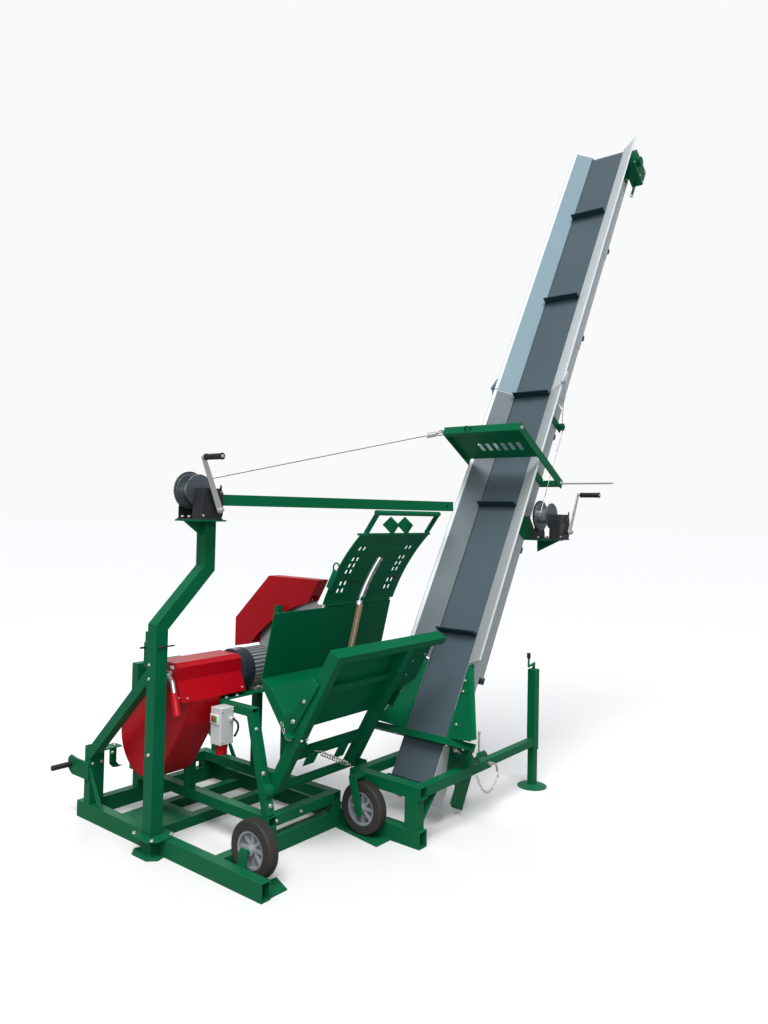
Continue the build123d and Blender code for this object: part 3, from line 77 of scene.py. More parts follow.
# %% Floor
bpy.context.scene.view_settings.view_transform = "Standard"
bpy.ops.mesh.primitive_circle_add(vertices=96, radius=90.0, fill_type="NGON", location=(1.0, 0.5, -0.0005))
floor = bpy.context.object
floor.name = "studio_floor"
ground = bpy.data.materials.new("pale floor")
ground.use_nodes = True
concrete = ground.node_tree
dull = concrete.nodes["Principled BSDF"]
dull.inputs["Roughness"].default_value = 0.85
dull.inputs["Specular IOR Level"].default_value = 0.1
seen = concrete.nodes.new("ShaderNodeLightPath")
pale = concrete.nodes.new("ShaderNodeMix")
pale.data_type = "RGBA"
pale.inputs["A"].default_value = (0.30, 0.30, 0.30, 1.0)
pale.inputs["B"].default_value = (0.72, 0.72, 0.72, 1.0)
concrete.links.new(seen.outputs["Is Camera Ray"], pale.inputs["Factor"])
concrete.links.new(pale.outputs["Result"], dull.inputs["Base Color"])
floor.data.materials.append(ground)
print("floor radius:", floor.dimensions.x / 2)

# %% Sky
world = bpy.data.worlds.new("pale sky")
bpy.context.scene.world = world
world.use_nodes = True
sky = world.node_tree
background = sky.nodes["Background"]
background.inputs["Color"].default_value = (0.90, 0.95, 1.0, 1.0)
background.inputs["Strength"].default_value = 0.5
backdrop = sky.nodes.new("ShaderNodeBackground")
backdrop.inputs["Color"].default_value = (0.95, 0.955, 0.96, 1.0)
chooser = sky.nodes.new("ShaderNodeMixShader")
rays = sky.nodes.new("ShaderNodeLightPath")
sky.links.new(rays.outputs["Is Camera Ray"], chooser.inputs[0])
sky.links.new(background.outputs[0], chooser.inputs[1])
sky.links.new(backdrop.outputs[0], chooser.inputs[2])
sky.links.new(chooser.outputs[0], sky.nodes["World Output"].inputs["Surface"])
print("sky strength:", background.inputs["Strength"].default_value)

# %% [markdown]
# One wide sun gives the bright top faces and keeps the whole floor evenly pale. A lamp in front lifts the
# near faces a little, and a broad one behind draws a thin light line along the far edges.

# %% Lamps
bpy.ops.object.light_add(type="SUN", location=(0, 0, 8))
sun = bpy.context.object
sun.name = "overcast sun"
sun.data.energy = 3.2
sun.data.angle = radians(35)
sun.rotation_euler = Vector((0.42, 0.30, -1.0)).to_track_quat("-Z", "Y").to_euler()


def soft_lamp(name, place, aim, size, power, colour):
    """A round lamp that looks from its place towards its aim."""
    bpy.ops.object.light_add(type="AREA", location=place)
    lamp = bpy.context.object
    lamp.name = name
    lamp.rotation_euler = (Vector(aim) - Vector(place)).to_track_quat("-Z", "Y").to_euler()
    lamp.data.shape = "DISK"
    lamp.data.size = size
    lamp.data.energy = power
    lamp.data.color = colour


soft_lamp("front lamp", (-4.0, -3.5, 3.0), (1.0, 0.4, 1.0), 2.5, 90, (1.0, 0.98, 0.95))
soft_lamp("back lamp", (3.5, 6.0, 5.0), (1.0, 0.4, 1.4), 3.0, 120, (1.0, 1.0, 1.0))

# %% [markdown]
# ## Shared effects
# Sheet metal is never perfectly sharp or perfectly even. Three small effects are used by nearly every
# finish, so each is built once as a node group: rounded edges with a mask of where they are, an uneven
# tone over large and small distances, and the dust that gathers near the ground.

# %% Shared effect: rounded edges
def new_group(name, inputs, outputs):
    """An empty node group with named sockets. An input is its name, its kind and its first value."""
    group = bpy.data.node_groups.new(name, "ShaderNodeTree")
    for socket, kind, value in inputs:
        made = group.interface.new_socket(socket, in_out="INPUT", socket_type=kind)
        made.default_value = value
    for socket, kind in outputs:
        group.interface.new_socket(socket, in_out="OUTPUT", socket_type=kind)
    print("node group:", name)
    return group, group.nodes.new("NodeGroupInput"), group.nodes.new("NodeGroupOutput")


def sum_node(tree, operation, *values, clamp=False):
    """A Math node whose inputs are numbers or other nodes' outputs."""
    node = tree.nodes.new("ShaderNodeMath")
    node.operation = operation
    node.use_clamp = clamp
    for socket, value in zip(node.inputs, values):
        if isinstance(value, (int, float)):
            socket.default_value = value
        else:
            tree.links.new(value, socket)
    return node.outputs[0]


EDGE_GAIN = 6.0   # how quickly the mask fills where the normal bends
EDGE_RADIUS = 0.0025   # of the rounding that the light sees
edges, edges_in, edges_out = new_group(
    "rounded edges", [("Radius", "NodeSocketFloat", EDGE_RADIUS)],
    [("Normal", "NodeSocketVector"), ("Edge", "NodeSocketFloat")])
round_off = edges.nodes.new("ShaderNodeBevel")
round_off.samples = 6
edges.links.new(edges_in.outputs["Radius"], round_off.inputs["Radius"])
edges.links.new(round_off.outputs[0], edges_out.inputs["Normal"])
facing = edges.nodes.new("ShaderNodeNewGeometry")
agree = edges.nodes.new("ShaderNodeVectorMath")
agree.operation = "DOT_PRODUCT"
edges.links.new(round_off.outputs[0], agree.inputs[0])
edges.links.new(facing.outputs["Normal"], agree.inputs[1])
bend = sum_node(edges, "SUBTRACT", 1.0, agree.outputs["Value"])
edges.links.new(sum_node(edges, "MULTIPLY", bend, EDGE_GAIN, clamp=True), edges_out.inputs["Edge"])

# %% Shared effect: uneven tone
FINE_SCALE = 40.0   # the fine grain is this much finer than the broad tone
SCRATCH_STRETCH, SCRATCH_TURN = (9.0, 240.0, 60.0), (0.5, 0.3, 0.8)
SCRATCH_START, SCRATCH_GAIN = 0.66, 9.0   # only the highest part of the noise is left as thin marks
tone, tone_in, tone_out = new_group(
    "uneven tone", [("Scale", "NodeSocketFloat", 3.0)],
    [("Broad", "NodeSocketFloat"), ("Fine", "NodeSocketFloat"), ("Scratches", "NodeSocketFloat")])
where = tone.nodes.new("ShaderNodeTexCoord")
broad = tone.nodes.new("ShaderNodeTexNoise")
broad.inputs["Detail"].default_value = 3.0
fine = tone.nodes.new("ShaderNodeTexNoise")
fine.inputs["Detail"].default_value = 4.0
tone.links.new(where.outputs["Object"], broad.inputs["Vector"])
tone.links.new(where.outputs["Object"], fine.inputs["Vector"])
tone.links.new(tone_in.outputs["Scale"], broad.inputs["Scale"])
tone.links.new(sum_node(tone, "MULTIPLY", tone_in.outputs["Scale"], FINE_SCALE), fine.inputs["Scale"])
stretch = tone.nodes.new("ShaderNodeMapping")
stretch.inputs["Scale"].default_value = SCRATCH_STRETCH
stretch.inputs["Rotation"].default_value = SCRATCH_TURN
scratch = tone.nodes.new("ShaderNodeTexNoise")
scratch.inputs["Scale"].default_value = 1.0
scratch.inputs["Detail"].default_value = 2.0
tone.links.new(where.outputs["Object"], stretch.inputs["Vector"])
tone.links.new(stretch.outputs[0], scratch.inputs["Vector"])
tone.links.new(broad.outputs["Fac"], tone_out.inputs["Broad"])
tone.links.new(fine.outputs["Fac"], tone_out.inputs["Fine"])
thin = sum_node(tone, "SUBTRACT", scratch.outputs["Fac"], SCRATCH_START)
tone.links.new(sum_node(tone, "MULTIPLY", thin, SCRATCH_GAIN, clamp=True), tone_out.inputs["Scratches"])

# %% Shared effect: dust near the ground
dust, dust_in, dust_out = new_group(
    "ground dust", [("Height", "NodeSocketFloat", 0.35), ("Broad", "NodeSocketFloat", 0.5)],
    [("Dust", "NodeSocketFloat")])
place = dust.nodes.new("ShaderNodeTexCoord")
apart = dust.nodes.new("ShaderNodeSeparateXYZ")
dust.links.new(place.outputs["Object"], apart.inputs[0])
level = sum_node(dust, "DIVIDE", apart.outputs["Z"], dust_in.outputs["Height"])
low = sum_node(dust, "SUBTRACT", 1.0, level, clamp=True)
patchy = sum_node(dust, "MULTIPLY", low, dust_in.outputs["Broad"])
DUST_GAIN = 1.2
dust.links.new(sum_node(dust, "MULTIPLY", patchy, DUST_GAIN, clamp=True), dust_out.inputs["Dust"])

# %% [markdown]
# ## Finishes
# A finish is one material. Its colour is mixed from two close tones by the uneven mask, then lifted a
# little along edges and dusted near the ground. What is the same all over, such as how metallic it is, is
# set straight on the shader. The conveyor's sheets are painted paler on the machine's right-hand side, as
# painted light, and the belt's cleats are painted darker than the belt, as painted shade: both are told apart
# by their place alone.

# %% Where a finish changes
BELT_SLOPE, BELT_FOOT = radians(60.13), 0.950   # the belt's climb, and the X where its line meets the floor
RIGHT_EDGE, LEFT_EDGE = -0.064, 0.192   # Y of the walls on either side of the belt
# Beyond this Y the conveyor's sheets are painted paler, as painted light on the right-hand board and wall.
PAINTED_LIGHT_Y = RIGHT_EDGE - 0.0005   # the right-hand board and wall lie beyond this Y
# Above this height over the belt a cleat is painted darker, as painted shade.
CLEAT_FOOT = 0.004   # what stands higher than this above the belt is a cleat
print("between the walls:", round(LEFT_EDGE - RIGHT_EDGE, 3))

# %% The common recipe
FINE_SHARE, PATCH_START = 0.35, 0.2   # how the two tones are shared out
EDGE_LIFT, EDGE_BASE = 1.9, 0.03   # a worn edge is this much paler than the light tone
SCRATCH_TONE, DUST_TONE = (0.55, 0.56, 0.57), (0.28, 0.25, 0.2)
DUST_DULL, GRAIN_DEPTH = 0.6, 0.0003


def mix(tree, mask, first, second):
    """Two colours mixed by a mask. A colour is three numbers or another node's output."""
    node = tree.nodes.new("ShaderNodeMix")
    node.data_type = "RGBA"
    tree.links.new(mask, node.inputs["Factor"])
    for socket, value in ((node.inputs["A"], first), (node.inputs["B"], second)):
        if isinstance(value, tuple):
            socket.default_value = (*value, 1.0)
        else:
            tree.links.new(value, socket)
    return node.outputs["Result"]


def painted_light_and_shade(tree, colour, right_painted_light, cleat_painted_shade):
    """The colour with painted light on the right-hand side, or painted shade on the cleats, in a tone of
    their own.
    """
    where = tree.nodes.new("ShaderNodeTexCoord")
    split = tree.nodes.new("ShaderNodeSeparateXYZ")
    tree.links.new(where.outputs["Object"], split.inputs["Vector"])
    # Painted light: the sheets beyond the right-hand wall get a paler tone.
    if right_painted_light:
        right = sum_node(tree, "LESS_THAN", split.outputs["Y"], PAINTED_LIGHT_Y)
        colour = mix(tree, right, colour, right_painted_light)
    # Painted shade: what stands above the belt as a cleat gets a darker tone.
    if cleat_painted_shade:
        start = BELT_FOOT * sin(BELT_SLOPE)
        rise = sum_node(tree, "MULTIPLY_ADD", split.outputs["X"], -sin(BELT_SLOPE), start)
        rise = sum_node(tree, "MULTIPLY_ADD", split.outputs["Z"], cos(BELT_SLOPE), rise)
        colour = mix(tree, sum_node(tree, "GREATER_THAN", rise, CLEAT_FOOT), colour, cleat_painted_shade)
    return colour


def finish(name, dark, light, rough, metal=0.0, edge=0.15, dusty=0.08, scale=3.0, grain=0.1,
           scratched=0.0, shine=0.3, right_painted_light=None, cleat_painted_shade=None):
    """One material, from its two tones, its roughness and how worn it is."""
    material = bpy.data.materials.new(name)
    material.use_nodes = True
    tree = material.node_tree
    shader = tree.nodes["Principled BSDF"]
    shader.inputs["Metallic"].default_value = metal
    shader.inputs["Specular IOR Level"].default_value = shine
    uneven, corner, ground = [tree.nodes.new("ShaderNodeGroup") for _ in range(3)]
    uneven.node_tree, corner.node_tree, ground.node_tree = tone, edges, dust
    uneven.inputs["Scale"].default_value = scale
    corner.inputs["Radius"].default_value = EDGE_RADIUS
    tree.links.new(uneven.outputs["Broad"], ground.inputs["Broad"])
    both = sum_node(tree, "MULTIPLY_ADD", uneven.outputs["Fine"], FINE_SHARE, uneven.outputs["Broad"])
    colour = mix(tree, sum_node(tree, "SUBTRACT", both, PATCH_START, clamp=True), dark, light)
    if right_painted_light or cleat_painted_shade:
        colour = painted_light_and_shade(tree, colour, right_painted_light, cleat_painted_shade)
    worn = sum_node(tree, "MULTIPLY", corner.outputs["Edge"], edge)
    colour = mix(tree, worn, colour, tuple(min(1.0, EDGE_LIFT * tint + EDGE_BASE) for tint in light))
    if scratched:
        marks = sum_node(tree, "MULTIPLY", uneven.outputs["Scratches"], scratched)
        colour = mix(tree, marks, colour, SCRATCH_TONE)
    powder = sum_node(tree, "MULTIPLY", ground.outputs["Dust"], dusty)
    tree.links.new(mix(tree, powder, colour, DUST_TONE), shader.inputs["Base Color"])
    gloss = sum_node(tree, "MULTIPLY_ADD", uneven.outputs["Fine"], grain, rough - grain / 2)
    tree.links.new(sum_node(tree, "MULTIPLY_ADD", powder, DUST_DULL, gloss), shader.inputs["Roughness"])
    bump = tree.nodes.new("ShaderNodeBump")
    bump.inputs["Distance"].default_value = GRAIN_DEPTH
    bump.inputs["Strength"].default_value = 0.5
    tree.links.new(uneven.outputs["Fine"], bump.inputs["Height"])
    tree.links.new(corner.outputs["Normal"], bump.inputs["Normal"])
    tree.links.new(bump.outputs[0], shader.inputs["Normal"])
    return material


def dress(material, *names):
    """Give one finish to some of the frame's own pieces."""
    for name in names:
        mesh = nodes[name].data
        mesh.materials.clear()
        mesh.materials.append(material)
    print(material.name, "on", len(names), "pieces")


# %% Paints
green = finish("green machine paint", (0.0, 0.092, 0.036), (0.0005, 0.126, 0.053), 0.40, edge=0.35,
               dusty=0.03, shine=0.12)
red = finish("red cover paint", (0.34, 0.0008, 0.006), (0.44, 0.002, 0.009), 0.38, edge=0.25, dusty=0.04,
             shine=0.18)
black = finish("black winch paint", (0.012, 0.013, 0.015), (0.028, 0.029, 0.032), 0.42, edge=0.5)
grey_housing = finish("grey switch housing", (0.50, 0.51, 0.52), (0.58, 0.59, 0.60), 0.45, edge=0.2)
motor_paint = finish("grey motor casting", (0.16, 0.17, 0.18), (0.27, 0.28, 0.29), 0.5, edge=0.4,
                     grain=0.2)
cowl_paint = finish("dark blue cowl paint", (0.012, 0.018, 0.028), (0.028, 0.036, 0.050), 0.33, edge=0.5)

dress(green, "ground_frame", "raised_frame", "jack_arm", "jack_leg", "hitch_towers", "top_link_mast",
      "winch_post", "jib", "saw_stand", "pivot_shaft", "wheel_carriers", "rocker_frame", "trough_left",
      "trough_right", "clamp_hood", "hood_hinge", "tail_frame", "hopper", "yoke", "winch_bracket",
      "rope_pulley", "head_drive")
dress(red, "belt_cover", "drive_box", "blade_guard", "tension_lever", "power_inlet")
dress(black, "hoist_winch_body", "fold_winch_body", "link_pins")
dress(motor_paint, "motor")
dress(grey_housing, "switch_box")

# %% Metals
# The paler tone given for the right-hand side of each sheet is painted light.
galvanised = finish("galvanised sheet", (0.095, 0.125, 0.138), (0.135, 0.160, 0.172), 0.55, metal=0.1,
                    edge=0.3, scale=6.0, grain=0.25, right_painted_light=(0.40, 0.43, 0.44))
aluminium = finish("pale blue alloy sheet", (0.155, 0.240, 0.285), (0.200, 0.295, 0.340), 0.55, metal=0.05,
                   edge=0.3, grain=0.2, right_painted_light=(0.54, 0.58, 0.60))
# The hem is the same sheet as the boards, painted pale as a painted highlight along the folded edges.
hem_painted_highlight = finish("folded hem with painted highlight", (0.66, 0.72, 0.74), (0.78, 0.84, 0.86), 0.45, edge=0.2)
bright = finish("bright steel", (0.42, 0.43, 0.44), (0.6, 0.61, 0.62), 0.3, metal=0.85, edge=0.2, shine=0.5,
                scratched=0.3)
zinc = finish("zinc plated steel", (0.50, 0.49, 0.46), (0.68, 0.67, 0.63), 0.35, metal=0.7, edge=0.3,
              shine=0.5)
drum_steel = finish("blued drum steel", (0.085, 0.105, 0.120), (0.17, 0.20, 0.22), 0.32, metal=0.6,
                    edge=0.3, shine=0.5)

dress(galvanised, "lower_channel")
dress(aluminium, "upper_channel")
dress(drum_steel, "hoist_winch_drum", "fold_winch_drum")
dress(bright, "saw_blade", "saw_shaft", "tail_drum", "head_drum", "hoist_rope", "fold_rope_low",
      "fold_rope_top")
dress(zinc, "arm_pin", "hoist_winch_crank", "fold_winch_crank", "yoke_rod")

# %% Rubber, plastics and timber
# The belt's two tones are its dark teal rubber raised to carry the sky's sheen, partly painted reflection;
# its cleats' darker tone is painted shade.
belt = finish("ribbed rubber belt", (0.055, 0.080, 0.098), (0.075, 0.105, 0.125), 0.45, edge=0.1,
              grain=0.15, cleat_painted_shade=(0.006, 0.026, 0.037))
# The cleats' tips under the walls wear this darker rubber as painted shade.
cleat_rubber_painted_shade = finish("cleat rubber with painted shade", (0.004, 0.022, 0.032), (0.008, 0.032, 0.044), 0.5, edge=0.1)
tyre = finish("tyre rubber", (0.008, 0.008, 0.009), (0.02, 0.02, 0.021), 0.6, edge=0.2, dusty=0.2)
rim = finish("grey rim plastic", (0.22, 0.24, 0.26), (0.32, 0.34, 0.36), 0.45, edge=0.3)
grip_rubber = finish("black grip rubber", (0.010, 0.010, 0.011), (0.022, 0.022, 0.024), 0.55, edge=0.4)
timber = finish("pale timber strip", (0.36, 0.24, 0.13), (0.56, 0.41, 0.25), 0.7, edge=0.2, scale=9.0,
                grain=0.2)
white_plastic = finish("white switch plastic", (0.66, 0.66, 0.65), (0.74, 0.74, 0.73), 0.35, edge=0.1)
red_key = finish("red push key", (0.55, 0.010, 0.012), (0.65, 0.016, 0.018), 0.3, edge=0.2)
green_key = finish("green push key", (0.010, 0.26, 0.030), (0.016, 0.34, 0.045), 0.3, edge=0.2)
# Dark plates in this finish stand for the shade in gaps and slots: painted shade.
painted_gap_shade = finish("shadow gap", (0.006, 0.007, 0.008), (0.012, 0.013, 0.014), 0.8, edge=0.0)

dress(belt, "lower_belt", "upper_belt")
dress(tyre, "tyre_left", "tyre_right")
dress(rim, "rim_left", "rim_right")

# %% The slot that each finish goes with
SLOT_OF = {paint.name: slot for slot, paints in (
    ("green", (green, timber, green_key)), ("red", (red, red_key)), ("zinc", (zinc,)),
    ("bright_steel", (bright,)), ("black_steel", (black, grip_rubber)), ("motor_grey", (cowl_paint,)),
    ("box_grey", (white_plastic, grey_housing)), ("tyre", (tyre,)), ("rim", (rim,)),
    ("galvanised", (galvanised, aluminium, hem_painted_highlight)), ("belt", (cleat_rubber_painted_shade, painted_gap_shade)),
) for paint in paints}
print("finishes for new pieces:", len(SLOT_OF))

# %% [markdown]
# ## The workbench
# A few helpers keep the later cells short. Small parts are made once near the origin, standing along Z, and
# then copied to their places; every copy gets its own mesh, and all copies of one kind end up in one piece.
# A finished piece has its place in its mesh, wears one finish and rides on one body of the machine.

# %% Choosing what to work on
def rest():
    """Leave edit mode and let go of everything."""
    if bpy.context.object and bpy.context.object.mode != "OBJECT":
        bpy.ops.object.mode_set(mode="OBJECT")
    bpy.ops.object.select_all(action="DESELECT")


def hold(*pieces):
    """Select some pieces and nothing else, the first of them active."""
    rest()
    for piece in pieces:
        piece.select_set(True)
    bpy.context.view_layer.objects.active = pieces[0]


def pick(piece, wanted):
    """Select in edit mode the faces whose centre and normal pass the test, and stay there."""
    hold(piece)
    bpy.ops.object.mode_set(mode="EDIT")
    bpy.ops.mesh.select_mode(type="FACE")
    bpy.ops.mesh.select_all(action="DESELECT")
    bpy.ops.object.mode_set(mode="OBJECT")
    for face in piece.data.polygons:
        face.select = wanted(face.center, face.normal)
    bpy.ops.object.mode_set(mode="EDIT")


# %% Rounding, and the last step of every piece
def soften(piece, width, segments=2):
    """Round the sharp edges of a piece."""
    hold(piece)
    rounding = piece.modifiers.new("rounding", "BEVEL")
    rounding.width = width
    rounding.segments = segments
    rounding.limit_method = "ANGLE"
    rounding.angle_limit = radians(30)
    bpy.ops.object.modifier_apply(modifier="rounding")
    bpy.ops.object.shade_smooth_by_angle(angle=radians(35))
    return piece


def settle(piece, name, material, body, slot=None):
    """Put a piece's place into its mesh, and give it its name, finish and body; its slot is worked out but
    not given to it.
    """
    slot = slot or SLOT_OF[material.name]
    hold(piece)
    bpy.ops.object.transform_apply(location=True, rotation=True, scale=True)
    piece.name = name
    piece.data.materials.clear()
    piece.data.materials.append(material)
    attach(piece, body)
    print(f"{name}: {len(piece.data.polygons)} faces, on {body}")


# %% Placing copies
UP, DOWN = (0, 0, 1), (0, 0, -1)
PLUS_X, MINUS_X = (1, 0, 0), (-1, 0, 0)
PLUS_Y, MINUS_Y = (0, 1, 0), (0, -1, 0)
bench = set()   # the patterns, which the last cell puts away


def stand(place, way=UP, size=1.0, spin=0.0):
    """The placement that stands a small part on a spot, pointing along `way`."""
    turn = Vector(way).to_track_quat("Z", "Y").to_matrix().to_4x4()
    return Matrix.Translation(place) @ turn @ Matrix.Rotation(spin, 4, "Z") @ Matrix.Scale(size, 4)


def twin_of(piece, place):
    """A copy of a piece with its own mesh, at a placement."""
    twin = piece.copy()
    twin.data = piece.data.copy()
    bpy.context.collection.objects.link(twin)
    twin.matrix_world = place
    return twin


def scatter(pattern, name, places, material, body, slot=None):
    """Copies of a pattern at many places, joined into one piece. The pattern stays on the bench."""
    bench.add(pattern)
    made = [twin_of(pattern, place) for place in places]
    hold(*made)
    bpy.ops.object.transform_apply(location=True, rotation=True, scale=True)
    if len(made) > 1:
        bpy.ops.object.join()
    settle(made[0], name, material, body, slot)


# %% Two plain shapes
def pin(name, radius, length, sides=24, lip=0.0006):
    """A round bar standing on the origin, with its rims rounded."""
    rest()
    bpy.ops.mesh.primitive_cylinder_add(vertices=sides, radius=radius, depth=length,
                                        location=(0, 0, length / 2))
    bar = bpy.context.object
    bar.name = name
    bpy.ops.object.transform_apply(location=True)
    return soften(bar, lip)


def plate(name, wide, deep, thick, lip=0.001):
    """A flat plate lying on the origin, with its rims rounded."""
    rest()
    bpy.ops.mesh.primitive_cube_add(size=1.0, location=(0, 0, thick / 2))
    flat = bpy.context.object
    flat.name = name
    flat.scale = (wide, deep, thick)
    bpy.ops.object.transform_apply(location=True, scale=True)
    return soften(flat, min(lip, thick * 0.4)) if lip else flat


# %% [markdown]
# ## Bolts
# A machine of this kind is welded where it never comes apart and bolted where it does. The bolt head is a
# six-sided cylinder whose top is drawn in to give the chamfer, on a thin washer. It is modelled once, at the
# size of an 8 mm bolt, and copied to every place with its own size.

# %% The pattern bolt
HEAD_RADIUS, HEAD_TALL, WASHER_RADIUS, WASHER_THICK = 0.0075, 0.0052, 0.0092, 0.0018
rest()
bpy.ops.mesh.primitive_cylinder_add(vertices=6, radius=HEAD_RADIUS, depth=HEAD_TALL,
                                    location=(0, 0, WASHER_THICK + HEAD_TALL / 2))
head = bpy.context.object
bpy.ops.object.transform_apply(location=True)
pick(head, lambda centre, normal: normal.z > 0.9)
bpy.ops.mesh.inset(thickness=0.0012, depth=0.0)
bpy.ops.transform.translate(value=(0, 0, 0.0006))
washer = pin("washer", WASHER_RADIUS, WASHER_THICK, 20, 0.0004)
hold(head, washer)
bpy.ops.object.join()
bolt = bpy.context.object
bolt.name = "pattern bolt"
print("bolt faces:", len(bolt.data.polygons))

# %% Bolts on the standing frame
frame_bolts = [  # place, the way the head points, size
    ((-0.085, 0.662, 0.088), UP, 1.1), ((0.022, 0.662, 0.088), UP, 1.1),
    ((-0.085, 0.798, 0.088), UP, 1.1), ((0.022, 0.798, 0.088), UP, 1.1),
    ((-0.0705, 0.727, 0.455), MINUS_X, 1.0), ((-0.0705, 0.741, 0.865), MINUS_X, 0.8),
    ((-0.0705, 0.741, 0.800), MINUS_X, 0.8), ((0.330, 0.668, 0.660), UP, 1.2),
    ((0.395, 0.664, 0.660), UP, 1.2), ((0.300, 0.412, 0.560), MINUS_Y, 1.0),
    ((0.300, 0.357, 0.365), MINUS_Y, 1.2), ((0.312, 0.318, 0.222), MINUS_Y, 1.2),
    ((0.340, 0.301, 0.150), MINUS_Y, 0.9), ((0.500, 0.301, 0.150), MINUS_Y, 0.9),
]
frame_bolts += [((x, 0.690, 0.674), UP, 1.1) for x in (0.560, 0.640, 0.745)]
frame_bolts += [((x, y, 0.660), UP, 1.3) for y in (0.690, 0.870) for x in (0.715, 0.860)]
frame_bolts += [((x, 1.2848, z), MINUS_Y, 0.9) for x in (-0.010, 0.040) for z in (0.285, 0.335)]
scatter(bolt, "frame_bolts", [stand(*row) for row in frame_bolts], zinc, "frame")

# %% [markdown]
# ## Hand winches
# Two hand winches lift and unfold the conveyor. What the eye catches on them is the toothed rim of the big
# gear, the rubber grip of the crank, the nut that holds the crank and the small pawl. The gear rim starts as
# a many-sided cylinder without end faces: every other side face is pulled out, which gives the teeth, and the
# ring gets a thin wall, so that the drum shows through its middle.

# %% Gear rim
TEETH, GEAR_RADIUS, GEAR_THICK, TOOTH, GEAR_WALL = 48, 0.0885, 0.010, 0.0045, 0.006
rest()
bpy.ops.mesh.primitive_cylinder_add(vertices=2 * TEETH, radius=GEAR_RADIUS, depth=GEAR_THICK,
                                    end_fill_type="NOTHING")
gear = bpy.context.object
pick(gear, lambda centre, normal: True)
bpy.ops.object.mode_set(mode="OBJECT")
for face in gear.data.polygons:
    face.select = face.index % 2 == 0
bpy.ops.object.mode_set(mode="EDIT")
bpy.ops.mesh.extrude_faces_move(TRANSFORM_OT_shrink_fatten={"value": TOOTH})
bpy.ops.object.mode_set(mode="OBJECT")
wall = gear.modifiers.new("wall", "SOLIDIFY")
wall.thickness = GEAR_WALL
wall.offset = -1.0
hold(gear)
bpy.ops.object.modifier_apply(modifier="wall")
bpy.ops.object.shade_smooth_by_angle(angle=radians(25))
print("gear faces:", len(gear.data.polygons))

# %% Grips, nuts and pawls
WINCHES = (  # name, the corner the winch is built from, its body, and the grip's end of the crank
    ("hoist", Vector((0.165, 0.787, 1.539)), "frame", (-0.061, 0.297)),
    ("fold", Vector((2.071, -0.125, 1.452)), "conveyor_lower", (0.157, 0.273)),
)
GEAR_AXIS, CRANK_AXIS = (-0.010, 0.141), (0.045, 0.048)   # across and up from the corner
GRIP_START, GRIP_LONG = 0.1965, 0.114   # out from the corner
GRIP_END = GRIP_START + GRIP_LONG


def winch_at(corner, x, up, out):
    """A place on a winch, from its corner: across, up and out to the front."""
    return corner + Vector((x, -out, up))


grip = pin("grip", 0.0148, GRIP_LONG, 28, 0.003)
pick(grip, lambda centre, normal: abs(normal.z) > 0.9)
bpy.ops.mesh.inset(thickness=0.004, depth=-0.001)
collar = pin("collar", 0.0165, 0.006, 28, 0.0015)
pawl = plate("pawl", 0.060, 0.016, 0.005)
pick(pawl, lambda centre, normal: normal.x > 0.9)
bpy.ops.mesh.extrude_region_move(TRANSFORM_OT_translate={"value": (0.014, 0.010, 0.0)})
bpy.ops.transform.resize(value=(1.0, 0.5, 1.0))
for name, corner, body, grip_end in WINCHES:
    grips = [stand(winch_at(corner, *grip_end, GRIP_START), MINUS_Y)]
    scatter(grip, f"{name}_grip", grips, grip_rubber, body)
    rings = [stand(winch_at(corner, *grip_end, end - 0.002), MINUS_Y) for end in (GRIP_START, GRIP_END)]
    scatter(collar, f"{name}_grip_ends", rings, grip_rubber, body)
    scatter(gear, f"{name}_gear", [stand(winch_at(corner, *GEAR_AXIS, 0.011), MINUS_Y)], black, body)
    nuts = [stand(winch_at(corner, *CRANK_AXIS, 0.187), MINUS_Y, size=1.5),
            stand(winch_at(corner, *grip_end, GRIP_END + 0.003), MINUS_Y, size=0.9),
            stand(winch_at(corner, *GEAR_AXIS, -0.001), PLUS_Y, size=1.5)]
    nuts += [stand(winch_at(corner, x, 0.012, out), UP) for x in (-0.058, 0.058) for out in (0.024, 0.075)]
    nuts += [stand(winch_at(corner, x, up, 0.160), MINUS_Y, size=0.7)
             for x, up in ((-0.040, 0.020), (0.060, 0.135))]
    scatter(bolt, f"{name}_winch_nuts", nuts, zinc, body)
    pawls = [stand(winch_at(corner, 0.040, 0.128, 0.161), MINUS_Y, spin=0.9)]
    scatter(pawl, f"{name}_pawl", pawls, black, body)

# %% [markdown]
# ## Motor, drive box and switch
# The electric motor hides behind the red belt box. Its fan cowl is a smooth dark shell that narrows towards
# the fins, so it is a cylinder whose far rim is drawn in and rounded. The belt is tightened by a bent steel
# lever with a red sleeve, and the switch sits on a grey box beside it.

# %% Fan cowl
COWL_RADIUS, COWL_LONG, COWL_PLACE = 0.1085, 0.074, (0.4465, 0.780, 0.765)
rest()
bpy.ops.mesh.primitive_cylinder_add(vertices=64, radius=COWL_RADIUS, depth=COWL_LONG,
                                    location=(0, 0, COWL_LONG / 2))
cowl = bpy.context.object
bpy.ops.object.transform_apply(location=True)
pick(cowl, lambda centre, normal: normal.z > 0.9)
bpy.ops.mesh.inset(thickness=0.006, depth=0.0)
bpy.ops.transform.translate(value=(0, 0, 0.008))
bpy.ops.mesh.inset(thickness=0.020, depth=0.0)
bpy.ops.mesh.delete(type="FACE")
pick(cowl, lambda centre, normal: normal.z < -0.9)
bpy.ops.mesh.inset(thickness=0.025, depth=0.0)
bpy.ops.mesh.delete(type="FACE")
bpy.ops.object.mode_set(mode="OBJECT")
soften(cowl, 0.003)
scatter(cowl, "motor_cowl", [stand(COWL_PLACE, PLUS_X)], cowl_paint, "frame")

